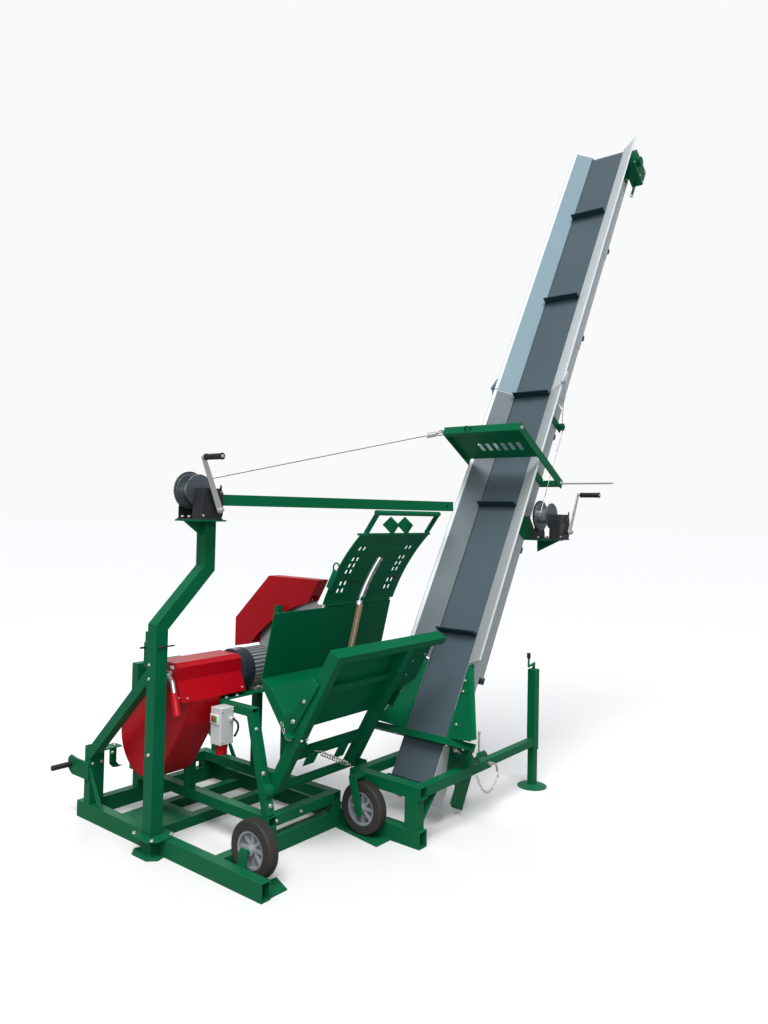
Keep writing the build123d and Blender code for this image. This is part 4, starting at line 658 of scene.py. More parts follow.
# %% A bar between two points, and a bent wire
def between(first, last, face=UP):
    """The placement of a bar that stands along Z: from one point towards another, its Y side to `face`."""
    first, last = Vector(first), Vector(last)
    up = (last - first).normalized()
    side = Vector(face).cross(up).normalized()
    turn = Matrix((side, up.cross(side), up)).transposed().to_4x4()
    return Matrix.Translation(first) @ turn


def wire(name, points, radius, sides=8):
    """A bent wire through a few points, as a smooth curve turned into a mesh."""
    rest()
    bpy.ops.curve.primitive_nurbs_path_add()
    line = bpy.context.object
    line.name = name
    line.data.splines.clear()
    run = line.data.splines.new("NURBS")
    run.points.add(len(points) - 1)
    for spot, point in zip(run.points, points):
        spot.co = (*point, 1.0)
    run.order_u = 3
    run.use_endpoint_u = True
    run.resolution_u = 6
    line.data.bevel_depth = radius
    line.data.bevel_resolution = sides // 2 - 2
    line.data.use_fill_caps = True
    hold(line)
    bpy.ops.object.convert(target="MESH")
    return bpy.context.object


# %% Tension lever
SLEEVE_TOP, SLEEVE_END = Vector((-0.002, 0.640, 0.735)), Vector((-0.032, 0.572, 0.655))
sleeve = pin("sleeve", 0.0175, 0.118, 28, 0.004)
sleeve_place = between(SLEEVE_TOP.lerp(SLEEVE_END, 0.02), SLEEVE_END)
scatter(sleeve, "lever_sleeve", [sleeve_place], red, "frame")
lever_rod = wire("lever_rod", [(0.064, 0.745, 0.806), (0.030, 0.745, 0.806), (0.020, 0.690, 0.790),
                               (0.008, 0.660, 0.760), (-0.003, 0.638, 0.733)], 0.0105, 12)
settle(lever_rod, "lever_rod", bright, "frame", "zinc")
boss = pin("boss", 0.016, 0.020, 24, 0.002)
scatter(boss, "lever_boss", [stand((0.036, 0.745, 0.806), PLUS_X)], bright, "frame", "zinc")

# %% Drive box details
label = plate("blank plate", 0.030, 0.016, 0.0012, 0.0004)
blanks = [stand(place, MINUS_X) for place in ((0.0598, 0.745, 0.835), (0.0598, 0.710, 0.700))]
scatter(label, "drive_box_blanks", blanks, white_plastic, "frame")
box_screws = [stand((x, 0.6545, 0.700), MINUS_Y, size=0.6) for x in (0.085, 0.420)]
box_screws += [stand((0.060, y, z), MINUS_X, size=0.55)
               for y, z in ((0.685, 0.700), (0.845, 0.700), (0.845, 0.840))]
scatter(bolt, "drive_box_screws", box_screws, zinc, "frame")

# %% Switch box
panel = plate("switch plate", 0.046, 0.062, 0.006, 0.0025)
panel_place = stand((0.2090, 0.601, 0.590), MINUS_X, spin=pi / 2)
scatter(panel, "switch_plate", [panel_place], white_plastic, "frame")
key = plate("key", 0.017, 0.030, 0.006, 0.002)
for name, y, material in (("stop_key", 0.611, red_key), ("start_key", 0.591, green_key)):
    scatter(key, name, [stand((0.2035, y, 0.592), MINUS_X)], material, "frame")
lid = plate("lid", 0.080, 0.075, 0.004, 0.0015)
scatter(lid, "switch_lid", [stand((0.249, 0.5975, 0.6395))], grey_housing, "frame")

# %% Cable gland, screws and inlet ring
gland = pin("gland", 0.013, 0.016, 12, 0.002)
scatter(gland, "cable_gland", [stand((0.272, 0.5605, 0.588), MINUS_Y)], grey_housing, "frame")
elbow = wire("elbow", [(0.272, 0.546, 0.588), (0.272, 0.530, 0.586), (0.283, 0.524, 0.572),
                       (0.292, 0.528, 0.545), (0.294, 0.545, 0.515), (0.296, 0.560, 0.500)], 0.0055, 10)
settle(elbow, "conduit_elbow", grip_rubber, "frame", "motor_grey")
switch_screws = [stand((x, 0.560, z), MINUS_Y, size=0.5) for x in (0.218, 0.281) for z in (0.482, 0.628)]
scatter(bolt, "switch_screws", switch_screws, zinc, "frame")
ring = pin("ring", 0.0300, 0.014, 32, 0.003)
scatter(ring, "inlet_ring", [stand((0.249, 0.598, 0.447))], red, "frame")

# %% [markdown]
# ## Clamp hood
# The curved plate has a slit for the blade, wider than the frame's own. A merged copy of the plate is cut
# with a plain block, and stands for the frame's piece. On the real machine the slit is lined with two strips
# of bright metal. Each strip is a small rectangle spun about the centre of the plate's own curve, so it
# follows the curve exactly. The slot in the back panel below is lined with timber. The hinge's bolts come
# last, with a bent wire loop on a tongue at the hood's left edge.

# %% Copies that can be cut, flat bars and flat placements
def stand_in(name):
    """A merged copy of one of the frame's pieces, ready to be cut."""
    rest()
    twin = twin_of(nodes[name], Matrix())
    twin.parent = None
    twin.matrix_world = Matrix()
    hold(twin)
    bpy.ops.object.mode_set(mode="EDIT")
    bpy.ops.mesh.select_all(action="SELECT")
    bpy.ops.mesh.remove_doubles(threshold=0.00002)
    bpy.ops.mesh.dissolve_limited(angle_limit=radians(1))
    bpy.ops.object.mode_set(mode="OBJECT")
    return twin


def combine(piece, tool, operation):
    """Join a tool to a piece or cut it out, and put the tool away."""
    hold(piece)
    step = piece.modifiers.new("step", "BOOLEAN")
    step.operation = operation
    step.object = tool
    step.solver = "EXACT"
    bpy.ops.object.modifier_apply(modifier="step")
    hold(tool)
    bpy.ops.object.delete()


def beam(name, wide, thick, length, lip=0.0006):
    """A flat bar standing on the origin, with its rims rounded."""
    bar = plate(name, wide, thick, length, 0.0)
    return soften(bar, lip)


def laid(place, x_way, y_way):
    """The placement that lays a small part on a spot, with its X and Y along two square ways."""
    x_way, y_way = Vector(x_way).normalized(), Vector(y_way).normalized()
    return Matrix.Translation(place) @ Matrix((x_way, y_way, x_way.cross(y_way))).transposed().to_4x4()


# %% Wider slit
BLADE_X, SLIT_WIDE = 0.955, 0.030
hood_copy = stand_in("clamp_hood")
opening = plate("opening", SLIT_WIDE, 0.300, 0.216, 0.0)
opening.location = (BLADE_X, 0.280, 1.142)
combine(hood_copy, opening, "DIFFERENCE")
settle(hood_copy, "wide_slit_hood", green, "hood")
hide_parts("clamp_hood")

# %% The plate's curve
HOOD_LOW, HOOD_MIDDLE, HOOD_HIGH = (0.347, 1.121), (0.249, 1.306), (0.109, 1.476)   # Y and Z, inner side


def circle_through(first, middle, last):
    """Centre and radius of the circle through three points of the Y and Z plane."""
    (ax, ay), (bx, by), (cx, cy) = first, middle, last
    twice = 2 * (ax * (by - cy) + bx * (cy - ay) + cx * (ay - by))
    a2, b2, c2 = ax * ax + ay * ay, bx * bx + by * by, cx * cx + cy * cy
    y = (a2 * (by - cy) + b2 * (cy - ay) + c2 * (ay - by)) / twice
    z = (a2 * (cx - bx) + b2 * (ax - cx) + c2 * (bx - ax)) / twice
    return y, z, ((ax - y) ** 2 + (ay - z) ** 2) ** 0.5


hood_y, hood_z, hood_r = circle_through(HOOD_LOW, HOOD_MIDDLE, HOOD_HIGH)
low_spoke = Vector((HOOD_LOW[0] - hood_y, HOOD_LOW[1] - hood_z))
sweep = low_spoke.angle_signed(Vector((HOOD_HIGH[0] - hood_y, HOOD_HIGH[1] - hood_z)))


def hood_point(share):
    """A point of the plate's inner side at a share of its length, and the way that the side faces."""
    spoke = Matrix.Rotation(-sweep * share, 2) @ low_spoke
    outward = Vector((0, spoke.x, spoke.y)).normalized()
    return Vector((0, hood_y + spoke.x, hood_z + spoke.y)), -outward if outward.y > 0 else outward


print("hood radius:", round(hood_r, 3))

# %% Strips that follow the curve
STRIP_OFF, STRIP_WIDE, STRIP_THICK, STRIP_LIFT = 0.0215, 0.013, 0.003, 0.0002
STRIP_START, STRIP_END = 0.03, 0.62   # shares of the curve that the strips cover


def curved_strip(name, x):
    """A strip on the plate's inner side: a small rectangle spun about the curve's centre."""
    spot, inward = hood_point(STRIP_START)
    rest()
    bpy.ops.mesh.primitive_plane_add(size=1.0)
    strip = bpy.context.object
    strip.name = name
    strip.scale = (STRIP_WIDE, STRIP_THICK, 1.0)
    bpy.ops.object.transform_apply(scale=True)
    middle = spot + inward * (STRIP_LIFT + STRIP_THICK / 2) + Vector((x, 0, 0))
    strip.matrix_world = laid(middle, PLUS_X, inward)
    bpy.ops.object.transform_apply(location=True, rotation=True)
    bpy.ops.object.mode_set(mode="EDIT")
    bpy.ops.mesh.select_all(action="SELECT")
    bpy.ops.mesh.spin(steps=24, angle=sweep * (STRIP_END - STRIP_START), center=(x, hood_y, hood_z),
                      axis=PLUS_X)
    bpy.ops.mesh.select_all(action="SELECT")
    bpy.ops.mesh.remove_doubles(threshold=0.00001)
    bpy.ops.mesh.normals_make_consistent(inside=False)
    bpy.ops.object.mode_set(mode="OBJECT")
    return strip


strips = [curved_strip("strip", BLADE_X + side * STRIP_OFF) for side in (-1, 1)]
hold(*strips)
bpy.ops.object.join()
settle(strips[0], "slit_edging", bright, "hood")

# %% Screws of the edging
edging_screws = []
for share in (0.07, 0.18, 0.29, 0.40, 0.51, 0.60):
    spot, inward = hood_point(share)
    for side in (-1, 1):
        seat = spot + inward * 0.0032 + Vector((BLADE_X + side * STRIP_OFF, 0, 0))
        edging_screws.append(stand(seat, inward, size=0.45))
scatter(bolt, "edging_screws", edging_screws, zinc, "hood")

# %% Timber beside the blade slot
PANEL_LOW, PANEL_HIGH = Vector((0, 0.425, 0.787)), Vector((0, 0.349, 1.104))
panel_rise = PANEL_HIGH - PANEL_LOW
panel_out = Vector((0, -panel_rise.z, panel_rise.y)).normalized()
slat = beam("slat", 0.016, 0.009, panel_rise.length - 0.004, 0.0015)
slats = []
for side in (-1, 1):
    shift = Vector((BLADE_X + side * 0.0135, 0, 0)) + panel_out * 0.0047
    slats.append(between(PANEL_LOW + shift, PANEL_HIGH + shift, panel_out))
scatter(slat, "slot_timber", slats, timber, "rocker")

# %% Hinge bolts, and the loop on the hood's left edge
hinge_bolts = [stand((x, 0.352, 1.114), (way, 0, 0), size=0.8)
               for x, way in ((0.682, -1), (0.933, 1), (0.977, -1), (1.210, 1))]
scatter(bolt, "hinge_bolts", hinge_bolts, zinc, "rocker")
tongue = beam("tongue", 0.034, 0.005, 0.105, 0.002)
tongue_place = between((0.667, 0.310, 1.205), (0.667, 0.262, 1.300), MINUS_X)
scatter(tongue, "hood_tongue", [tongue_place], green, "hood")
hood_loop = wire("hood_loop", [(0.666, 0.276, 1.285), (0.666, 0.282, 1.318), (0.664, 0.262, 1.338),
                               (0.664, 0.238, 1.330), (0.666, 0.240, 1.310)], 0.004)
settle(hood_loop, "hood_loop", green, "hood")

# %% [markdown]
# ## Rocker
# The rocker's own small parts are a stop bar along its left arm, a spring between two tabs, a chain, and the
# bolts that hold the right-hand board. A chain link is a ring whose upper half is moved away from its lower
# half, which makes the long link; every second one is turned by a quarter.

# %% A chain link
LINK_RADIUS, LINK_WIRE, LINK_STRETCH = 0.0075, 0.0019, 0.010
rest()
bpy.ops.mesh.primitive_torus_add(major_radius=LINK_RADIUS, minor_radius=LINK_WIRE, major_segments=16,
                                 minor_segments=8)
link = bpy.context.object
link.name = "link"
bpy.ops.object.mode_set(mode="EDIT")
bpy.ops.mesh.select_mode(type="VERT")
bpy.ops.mesh.select_all(action="DESELECT")
bpy.ops.object.mode_set(mode="OBJECT")
for vertex in link.data.vertices:
    vertex.select = vertex.co.y > 0.0001
bpy.ops.object.mode_set(mode="EDIT")
bpy.ops.transform.translate(value=(0, LINK_STRETCH, 0))
bpy.ops.mesh.select_all(action="SELECT")
bpy.ops.transform.translate(value=(0, -LINK_STRETCH / 2, 0))
bpy.ops.object.mode_set(mode="OBJECT")
bpy.ops.object.shade_smooth()


def chain(name, first, last, sag, count, material, body, size):
    """Links along a hanging line from one point to another."""
    first, last = Vector(first), Vector(last)
    places = []
    for index in range(count):
        share = (index + 0.5) / count
        spot = first.lerp(last, share) - Vector((0, 0, 4 * sag * share * (1 - share)))
        way = last - first - Vector((0, 0, 4 * sag * (1 - 2 * share)))
        turn = way.to_track_quat("Y", "Z").to_matrix().to_4x4()
        places.append(Matrix.Translation(spot) @ turn @ Matrix.Rotation(pi / 2 * (index % 2), 4, "Y")
                      @ Matrix.Scale(size, 4))
    scatter(link, name, places, material, body)


print("link faces:", len(link.data.polygons))

# %% Places on the rocker
ROCKER_PIVOT_Y, ROCKER_PIVOT_Z, ROCKER_LEAN = 0.345, 0.280, radians(29.3)


def board_at(x, up, back):
    """A place on the rocker: metres across, up its board from the pivot, and behind the board's middle."""
    return Vector((x, ROCKER_PIVOT_Y - up * sin(ROCKER_LEAN) + back * cos(ROCKER_LEAN),
                   ROCKER_PIVOT_Z + up * cos(ROCKER_LEAN) + back * sin(ROCKER_LEAN)))


OFF_BOARD = board_at(0, 0, -1) - board_at(0, 0, 0)
print("the rocker's board faces along", [round(v, 3) for v in OFF_BOARD])

# %% Stop bar, strap and chain on the left arm
stop = beam("stop", 0.052, 0.008, 0.270, 0.003)
stop_place = between((0.332, 0.212, 0.603), (0.332, 0.065, 0.829), MINUS_X)
scatter(stop, "stop_bar", [stop_place], green, "rocker")
strap = beam("strap", 0.070, 0.006, 0.045, 0.002)
straps = [laid(board_at(0.362, 0.300, -0.033), PLUS_X, OFF_BOARD),
          between((0.337, 0.235, 0.566), (0.337, 0.165, 0.545), UP)]
scatter(strap, "arm_strap", straps, green, "rocker")
chain("rocker_chain", (0.322, 0.268, 0.622), (0.326, 0.205, 0.552), 0.035, 6, zinc, "rocker", 0.9)
arm_bolts = [stand((0.3278, 0.196, 0.628), MINUS_X, size=1.2), stand((0.3278, 0.130, 0.729), MINUS_X)]
arm_bolts += [stand(board_at(x, 0.322, -0.0335), OFF_BOARD, size=0.9) for x in (0.345, 0.380)]
arm_bolts += [stand(board_at(x, up, 0.0298), OFF_BOARD, size=0.9) for x, up in (
    (0.985, 0.470), (1.065, 0.520), (1.065, 0.610), (1.150, 0.640), (1.150, 0.700), (0.950, 0.690))]
scatter(bolt, "rocker_bolts", arm_bolts, zinc, "rocker")

# %% Return spring with its hooks
COIL_TURNS, COIL_STEPS, COIL_RADIUS = 12, 8, 0.0115
COIL_ACROSS, COIL_DOWN = 0.0021, 0.001025   # what one step of a turn adds
coil = []
for index in range(COIL_STEPS * COIL_TURNS):
    angle = 2 * pi * index / COIL_STEPS
    coil.append((0.530 + COIL_ACROSS * index, 0.214 + COIL_RADIUS * cos(angle),
                 0.438 - COIL_DOWN * index + COIL_RADIUS * sin(angle)))
spring = wire("spring", [(0.505, 0.226, 0.452), (0.516, 0.214, 0.450)] + coil
              + [(0.742, 0.214, 0.336), (0.756, 0.212, 0.334), (0.752, 0.212, 0.322)], 0.0024, 8)
settle(spring, "return_spring", zinc, "rocker")
tab = beam("tab", 0.075, 0.006, 0.075, 0.002)
tabs = [between(board_at(0.735, 0.175, -0.016), board_at(0.735, 0.085, -0.016), MINUS_Y),
        between(board_at(0.505, 0.200, -0.020), board_at(0.505, 0.160, -0.020), MINUS_Y)]
scatter(tab, "spring_tabs", tabs, green, "rocker")

# %% [markdown]
# ## Transport wheels
# The wheels are solid rubber on plastic rims. Thin moulded rings on the tyre's walls and a cap on the axle
# are what tells a real wheel from a plain disc.

# %% A moulded ring
rest()
bpy.ops.mesh.primitive_torus_add(major_radius=0.108, minor_radius=0.0022, major_segments=64,
                                 minor_segments=8)
moulded = bpy.context.object
moulded.name = "moulded ring"
bpy.ops.object.shade_smooth()
pick(moulded, lambda centre, normal: True)
bpy.ops.transform.resize(value=(1.0, 1.0, 0.5))
bpy.ops.object.mode_set(mode="OBJECT")
print("ring faces:", len(moulded.data.polygons))

# %% Tyre rings and axle caps
AXLES = {"left": (0.094, 0.178, 0.134), "right": (0.772, 0.135, 0.134)}   # the wheels' middles
WALL_OUT, CAP_OUT, NUT_OUT = 0.0278, 0.0282, 0.0330   # from a wheel's middle
cap = pin("cap", 0.023, 0.005, 32, 0.0018)
for side, (x, y, z) in AXLES.items():
    walls = [stand((x + way * WALL_OUT, y, z), (way, 0, 0), size=size)
             for way in (-1, 1) for size in (1.0, 0.88)]
    scatter(moulded, f"tyre_rings_{side}", walls, tyre, f"wheel_{side}")
    caps = [stand((x + way * CAP_OUT, y, z), (way, 0, 0)) for way in (-1, 1)]
    scatter(cap, f"hub_caps_{side}", caps, rim, f"wheel_{side}")
    nuts = [stand((x + way * NUT_OUT, y, z), (way, 0, 0), size=1.1) for way in (-1, 1)]
    scatter(bolt, f"axle_nuts_{side}", nuts, zinc, f"wheel_{side}")

# %% [markdown]
# ## Conveyor
# The boards and walls are folded sheet. Their free edges are hemmed, and each hem is painted pale as a
# painted highlight, a bright line from top to bottom; the sheets overlap at seams, and the walls reach lower
# than the belt's return strand, with only the tips of its cleats below them, painted dark as painted shade.
# Places are told in metres up the belt and off it, because on a slope that steep the world's own X and Z say
# little.

# %% Places on the belt
def belt_at(along, y, above):
    """A place on the conveyor: metres up the belt, sideways, and square above the belt."""
    return Vector((BELT_FOOT + along * cos(BELT_SLOPE) - above * sin(BELT_SLOPE), y,
                   along * sin(BELT_SLOPE) + above * cos(BELT_SLOPE)))


UP_BELT = belt_at(1, 0, 0) - belt_at(0, 0, 0)
OFF_BELT = belt_at(0, 0, 1) - belt_at(0, 0, 0)
BELT_MIDDLE = (RIGHT_EDGE + LEFT_EDGE) / 2
print("belt climbs along", [round(v, 3) for v in UP_BELT])

# %% Hems along the boards
BOARD_OUT, BOARD_RISE = 0.117, 0.080   # how far a board reaches sideways, and off the belt


def board_ways(out):
    """The slant of the board on one side, -1 or 1, and the way that its inner face looks."""
    rise = Vector((0, out * BOARD_OUT, 0)) + OFF_BELT * BOARD_RISE
    inward = rise.cross(UP_BELT).normalized()
    return rise.normalized(), inward if inward.dot(OFF_BELT) > 0 else -inward


for name, low, high in (("lower", 0.905, 2.748), ("upper", 2.760, 5.086)):
    hem = beam("hem", 0.020, 0.0060, high - low, 0.0004)
    hems = []
    for edge, out in ((RIGHT_EDGE, -1), (LEFT_EDGE, 1)):
        slant, inward = board_ways(out)
        top = Vector((0, edge + out * 0.1192, 0)) + OFF_BELT * 0.0845 - slant * 0.011 + inward * 0.0010
        hems.append(between(belt_at(low, 0, 0) + top, belt_at(high, 0, 0) + top, inward))
    # The hems' pale finish is a painted highlight.
    scatter(hem, f"{name}_hems", hems, hem_painted_highlight, f"conveyor_{name}")

# %% Deeper walls and the tips of the return cleats
SKIRT_DEEP, SKIRT_THICK = 0.046, 0.003
SKIRT_DROP = SKIRT_DEEP / 2 - 0.002   # the skirt's middle below the wall's edge, which it overlaps a little
TIP_LEVEL = -0.166   # where a cleat's tip starts, square to the belt
tip = beam("tip", 0.038, 0.246, 0.046, 0.001)
pick(tip, lambda centre, normal: normal.z > 0.9)
bpy.ops.transform.resize(value=(0.30, 1.0, 1.0))
bpy.ops.transform.translate(value=(-0.011, 0, 0))
bpy.ops.object.mode_set(mode="OBJECT")
for name, low, high, deep, material, stations in (   # from and to along the belt, the frame's wall below it
        ("lower", 0.880, 2.746, 0.136, galvanised, (2.546, 1.712, 0.878)),
        ("upper", 2.760, 5.060, 0.130, aluminium, (4.214, 3.380))):
    skirt = beam("skirt", SKIRT_DEEP, SKIRT_THICK, high - low)
    level = -deep - SKIRT_DROP
    walls = [between(belt_at(low, y, level), belt_at(high, y, level), MINUS_Y)
             for y in (RIGHT_EDGE - SKIRT_THICK / 2, LEFT_EDGE + SKIRT_THICK / 2)]
    scatter(skirt, f"{name}_wall_skirts", walls, material, f"conveyor_{name}")
    tips = [laid(belt_at(at, BELT_MIDDLE, TIP_LEVEL), UP_BELT, MINUS_Y) for at in stations]
    scatter(tip, f"{name}_cleat_tips", tips, cleat_rubber_painted_shade, f"conveyor_{name}")

# %% Seams of the wall
SEAM_LONG, WALL_FACE = 0.070, RIGHT_EDGE - 0.0038
seam = beam("seam", 0.178, 0.0014, SEAM_LONG, 0.0005)
seams = [between(belt_at(at, WALL_FACE, -0.088), belt_at(at + SEAM_LONG, WALL_FACE, -0.088), MINUS_Y)
         for at in (2.790, 3.250, 4.100)]
scatter(seam, "wall_seams", seams, aluminium, "conveyor_upper")

# %% Painted shade of the board's slots
SLOT_LONG = 0.210
# Thin plates in the shadow gap finish lie on the board: painted shade where its slots are.
slot_cut = beam("slot cut", 0.010, 0.0010, SLOT_LONG, 0.0004)
slots = []
board_in = board_ways(-1)[1]
for at, share in ((1.560, 0.62), (1.900, 0.62), (1.900, 0.78)):
    spot = Vector((0, RIGHT_EDGE - BOARD_OUT * share, 0)) + OFF_BELT * (0.005 + BOARD_RISE * share)
    spot += board_in * 0.0006
    slots.append(between(belt_at(at, 0, 0) + spot, belt_at(at + SLOT_LONG, 0, 0) + spot, board_in))
scatter(slot_cut, "board_slot_shade", slots, painted_gap_shade, "conveyor_lower")

# %% [markdown]
# ### Head drive and fold
# At the top a gearbox hangs on a bolted bracket. It is the frame's own. What is added is its bolts, those
# of the fold, and the round cover of the gearbox, a disc whose face is drawn in and sunk.

# %% Bolts of the head drive and the fold
head_bolts = [stand(belt_at(at, -0.0748, above), MINUS_Y) for at in (4.900, 5.088)
              for above in (-0.132, -0.034)]
head_bolts += [stand(belt_at(at, -0.1568, above), MINUS_Y, size=0.9) for at in (4.958, 5.064)
               for above in (-0.225, -0.160, -0.036)]
head_bolts += [stand(belt_at(4.795, -0.112, -0.205), -UP_BELT, size=1.4)]
head_bolts += [stand(belt_at(at, RIGHT_EDGE - 0.0030, above), MINUS_Y, size=0.6)
               for at in (2.80, 2.84, 4.11, 4.15) for above in (-0.03, -0.12)]
scatter(bolt, "head_drive_bolts", head_bolts, zinc, "conveyor_upper")
cover = pin("cover", 0.044, 0.012, 40, 0.003)
pick(cover, lambda centre, normal: normal.z > 0.9)
bpy.ops.mesh.inset(thickness=0.012, depth=-0.003)
bpy.ops.object.mode_set(mode="OBJECT")
cover_place = stand(belt_at(5.010, -0.1775, -0.080), MINUS_Y, size=0.7)
scatter(cover, "gearbox_cover", [cover_place], green, "conveyor_upper")

# %% [markdown]
# ## Yoke
# The plate across the yoke has cut-outs. It is a copy of the frame's own yoke, to which a lower strip is
# joined and out of which a row of plain slots is cut, so it stands for that piece.

# %% Slotted yoke plate
SLOT_COUNT, SLOT_STEP, FIRST_SLOT = 6, 0.052, 0.154
arch = stand_in("yoke")
apron = plate("apron", 0.512, 0.090, 0.006, 0.0)
apron.matrix_world = laid(belt_at(2.182, BELT_MIDDLE, 0.150), PLUS_Y, OFF_BELT)
cutter = plate("cutter", 0.030, 0.078, 0.040, 0.0)
soften(cutter, 0.008, 3)
cutters = [twin_of(cutter, laid(belt_at(2.165, FIRST_SLOT - SLOT_STEP * index, 0.222), PLUS_Y, OFF_BELT))
           for index in range(SLOT_COUNT)]
hold(*cutters)
bpy.ops.object.join()
combine(arch, apron, "UNION")
combine(arch, cutters[0], "DIFFERENCE")
hold(cutter)
bpy.ops.object.delete()
settle(arch, "slotted_yoke", green, "conveyor_lower")
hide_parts("yoke")

# %% [markdown]
# ### Rope end
# The hoist's rope goes round a thimble on a shackle pin and back along itself, held by three clips. The
# thimble is one bent wire, the clips are small blocks, each with two nuts. A lifting eye stands on the yoke.

# %% Thimble
YOKE_AT, YOKE_TOP = 2.185, 0.395   # along the belt and above it
rope_end = belt_at(YOKE_AT, 0.3293, YOKE_TOP)
rope_way = (rope_end - Vector((0.158, 0.727, 1.720))).normalized()
rope_side = rope_way.cross(Vector(UP)).normalized()
EYE = ((0.062, 0.004), (0.040, 0.017), (0.018, 0.013), (0.014, 0.0),   # back along the rope, and up
       (0.018, -0.013), (0.040, -0.017), (0.062, -0.004))
eye = wire("thimble", [rope_end - rope_way * back + Vector((0, 0, up)) for back, up in EYE], 0.0042, 10)
settle(eye, "rope_thimble", zinc, "conveyor_lower")

# %% Clips, nuts, shackle pin and lifting eye
CLIPS = (0.078, 0.104, 0.130)   # back along the rope
clip = plate("clip", 0.020, 0.014, 0.016, 0.003)
clips = [laid(rope_end - rope_way * at, rope_way, rope_side) for at in CLIPS]
scatter(clip, "rope_clips", clips, zinc, "conveyor_lower")
nuts = [stand(rope_end - rope_way * at + rope_side * side * 0.006 + Vector((0, 0, 0.010)), UP, size=0.6)
        for at in CLIPS for side in (-1, 1)]
nuts += [stand(rope_end + Vector((0, 0.010, 0)), PLUS_Y, size=1.3)]
nuts += [stand(belt_at(YOKE_AT, -0.1985, above), MINUS_Y, size=1.2) for above in (YOKE_TOP, -0.190)]
scatter(bolt, "yoke_nuts", nuts, zinc, "conveyor_lower")
shackle_pin = pin("shackle pin", 0.006, 0.040, 20, 0.001)
shackle_place = stand(rope_end - Vector((0, 0.030, 0)), PLUS_Y)
scatter(shackle_pin, "shackle_pin", [shackle_place], black, "conveyor_lower")
lifting_eye = wire("lifting_eye", [belt_at(YOKE_AT, y, above) for y, above in (
    (0.170, 0.408), (0.166, 0.434), (0.148, 0.440), (0.130, 0.434), (0.126, 0.408))], 0.0050, 10)
settle(lifting_eye, "lifting_eye", green, "conveyor_lower")

# %% [markdown]
# ## Hopper, tail and outrigger
# The hopper's wings have a folded flange along their free edge. Under the hopper a clamp sits on the tail
# frame, and the telescoping arm is locked by a pin on a ring, which a little chain keeps from getting lost.

# %% Wing flanges
WING_TOP, WING_LOW = (0.888, 0.004, 0.008), (0.492, 0.179, 0.059)   # up the belt, beyond its edge, above it
for side, edge, out in (("right", RIGHT_EDGE, -1), ("left", LEFT_EDGE, 1)):
    top, low = [belt_at(up, edge + out * beyond, above) for up, beyond, above in (WING_TOP, WING_LOW)]
    flange = beam("flange", 0.034, 0.003, (low - top).length, 0.0008)
    along = (low - top).normalized()
    outwards = Vector((0, out, 0))
    outwards = (outwards - along * outwards.dot(along)).normalized()
    face = along.cross(outwards)
    face = face if face.dot(OFF_BELT) > 0 else -face
    spot = outwards * 0.016
    flange_place = between(top + spot, low + spot, face)
    scatter(flange, f"wing_flange_{side}", [flange_place], green, "conveyor_lower")

# %% Hopper bolts
hopper_bolts = []
for at in (0.800, 0.740, 0.560):
    down = 0.888 - at   # along the wing from its top
    seat = belt_at(at, RIGHT_EDGE - 0.004 - down * 0.16, 0.010 + down * 0.08)
    hopper_bolts.append(stand(seat, OFF_BELT, size=0.8))
hopper_bolts += [stand(belt_at(0.447, y, 0.035), -UP_BELT, size=0.9) for y in (-0.200, -0.100, 0.230, 0.330)]
hopper_bolts += [stand(belt_at(at, RIGHT_EDGE - 0.011, -0.020), MINUS_Y) for at in (0.480, 0.560, 0.620)]
scatter(bolt, "hopper_bolts", hopper_bolts, zinc, "conveyor_lower")

# %% Tail clamp
CLAMP_AT, SCREW_Y = 0.440, -0.135
clamp_bar = beam("clamp bar", 0.045, 0.010, 0.110, 0.003)
clamp_place = between(belt_at(CLAMP_AT, -0.070, -0.075), belt_at(CLAMP_AT, -0.180, -0.060), OFF_BELT)
scatter(clamp_bar, "tail_clamp", [clamp_place], green, "conveyor_lower")
clamp_screw = pin("clamp screw", 0.006, 0.095, 20, 0.001)
screw_place = stand(belt_at(CLAMP_AT, SCREW_Y, -0.090), OFF_BELT)
scatter(clamp_screw, "tail_clamp_screw", [screw_place], zinc, "conveyor_lower")
head_place = stand(belt_at(CLAMP_AT, SCREW_Y, 0.000), OFF_BELT, size=1.3)
scatter(bolt, "tail_clamp_head", [head_place], zinc, "conveyor_lower")

# %% Hook plate and T bolt at the tail's right end
catch = plate("catch", 0.075, 0.030, 0.010, 0.003)
pick(catch, lambda centre, normal: normal.x > 0.9)
bpy.ops.mesh.extrude_region_move(TRANSFORM_OT_translate={"value": (0.022, -0.016, 0.0)})
bpy.ops.transform.resize(value=(1.0, 0.6, 1.0))
bpy.ops.object.mode_set(mode="OBJECT")
catches = [laid(place, PLUS_X, UP) for place in ((1.265, -0.225, 0.357), (1.225, -0.205, 0.329))]
scatter(catch, "tail_catch", catches, green, "conveyor_lower")
tee = pin("tee", 0.0055, 0.129, 20, 0.001)
scatter(tee, "tail_tee", [stand((1.255, -0.225, 0.339))], zinc, "conveyor_lower")
scatter(bolt, "tail_tee_head", [stand((1.255, -0.225, 0.468))], zinc, "conveyor_lower")

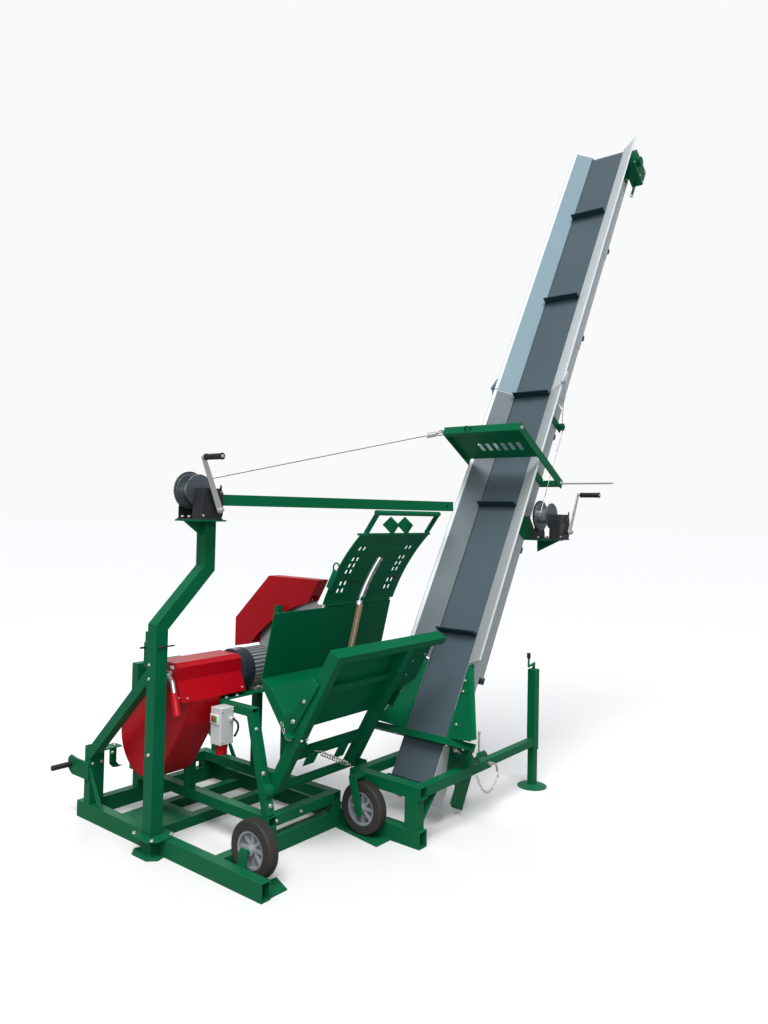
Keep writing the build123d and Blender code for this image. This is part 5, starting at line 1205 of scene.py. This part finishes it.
# %% Outrigger pin with its ring and chain
pin_loop = wire("pin_loop", [(1.430, -0.196, 0.268), (1.455, -0.206, 0.262), (1.472, -0.208, 0.238),
                             (1.476, -0.206, 0.215)], 0.0055, 10)
settle(pin_loop, "outrigger_pin_loop", zinc, "frame")
rest()
bpy.ops.mesh.primitive_torus_add(major_radius=0.016, minor_radius=0.0028, major_segments=32,
                                 minor_segments=8)
key_ring = bpy.context.object
key_ring.name = "key ring"
bpy.ops.object.shade_smooth()
scatter(key_ring, "outrigger_ring", [stand((1.482, -0.206, 0.198), (0.6, -1.0, 0.2))], zinc, "frame")
chain("outrigger_chain", (1.476, -0.204, 0.184), (1.300, -0.184, 0.236), 0.085, 13, zinc, "frame", 0.9)
jack_grip = pin("jack grip", 0.0110, 0.032, 24, 0.003)
scatter(jack_grip, "jack_grip", [stand((1.908, -0.154, 0.756))], grip_rubber, "frame")

# %% [markdown]
# ## Hitch and post
# A small shelf with hook plates sits on the left hitch tower, and two black pins sit at a small bracket on
# the winch post. A hook is a flat plate whose end face is pushed out twice and narrowed.

# %% Hook plates
shelf = plate("shelf", 0.105, 0.070, 0.007, 0.002)
scatter(shelf, "hook_shelf", [Matrix.Translation((0.080, 1.280, 0.348))], green, "frame")
hook = plate("hook", 0.030, 0.080, 0.008, 0.002)
pick(hook, lambda centre, normal: normal.y > 0.9)
bpy.ops.mesh.extrude_region_move(TRANSFORM_OT_translate={"value": (0.018, 0.020, 0.0)})
bpy.ops.mesh.extrude_region_move(TRANSFORM_OT_translate={"value": (0.022, 0.004, 0.0)})
bpy.ops.transform.resize(value=(1.0, 0.6, 1.0))
bpy.ops.object.mode_set(mode="OBJECT")
hooks = [laid(place, PLUS_X, DOWN) for place in ((0.080, 1.250, 0.311), (0.096, 1.262, 0.311))]
scatter(hook, "hook_plates", hooks, green, "frame")
hook_bolts = [stand((0.075, 1.2455, 0.330), MINUS_Y, size=0.9), stand((0.100, 1.268, 0.359), UP, size=0.9)]
scatter(bolt, "hook_bolts", hook_bolts, zinc, "frame")

# %% Bracket and pins at the post
ear = beam("ear", 0.050, 0.007, 0.115, 0.003)
ear_place = between((-0.058, 0.7770, 0.850), (-0.058, 0.7770, 0.965), MINUS_X)
scatter(ear, "post_ear", [ear_place], green, "frame")
black_pin = pin("black pin", 0.0065, 0.150, 20, 0.002)
pins = [stand((-0.090, 0.786, 0.940), PLUS_X, size=0.8), stand((-0.061, 0.690, 0.950), PLUS_X, size=0.6)]
scatter(black_pin, "post_pin", pins, black, "frame")

# %% [markdown]
# ## The last line
# The patterns leave the bench.

# %% Finish
hold(*bench)
bpy.ops.object.delete()
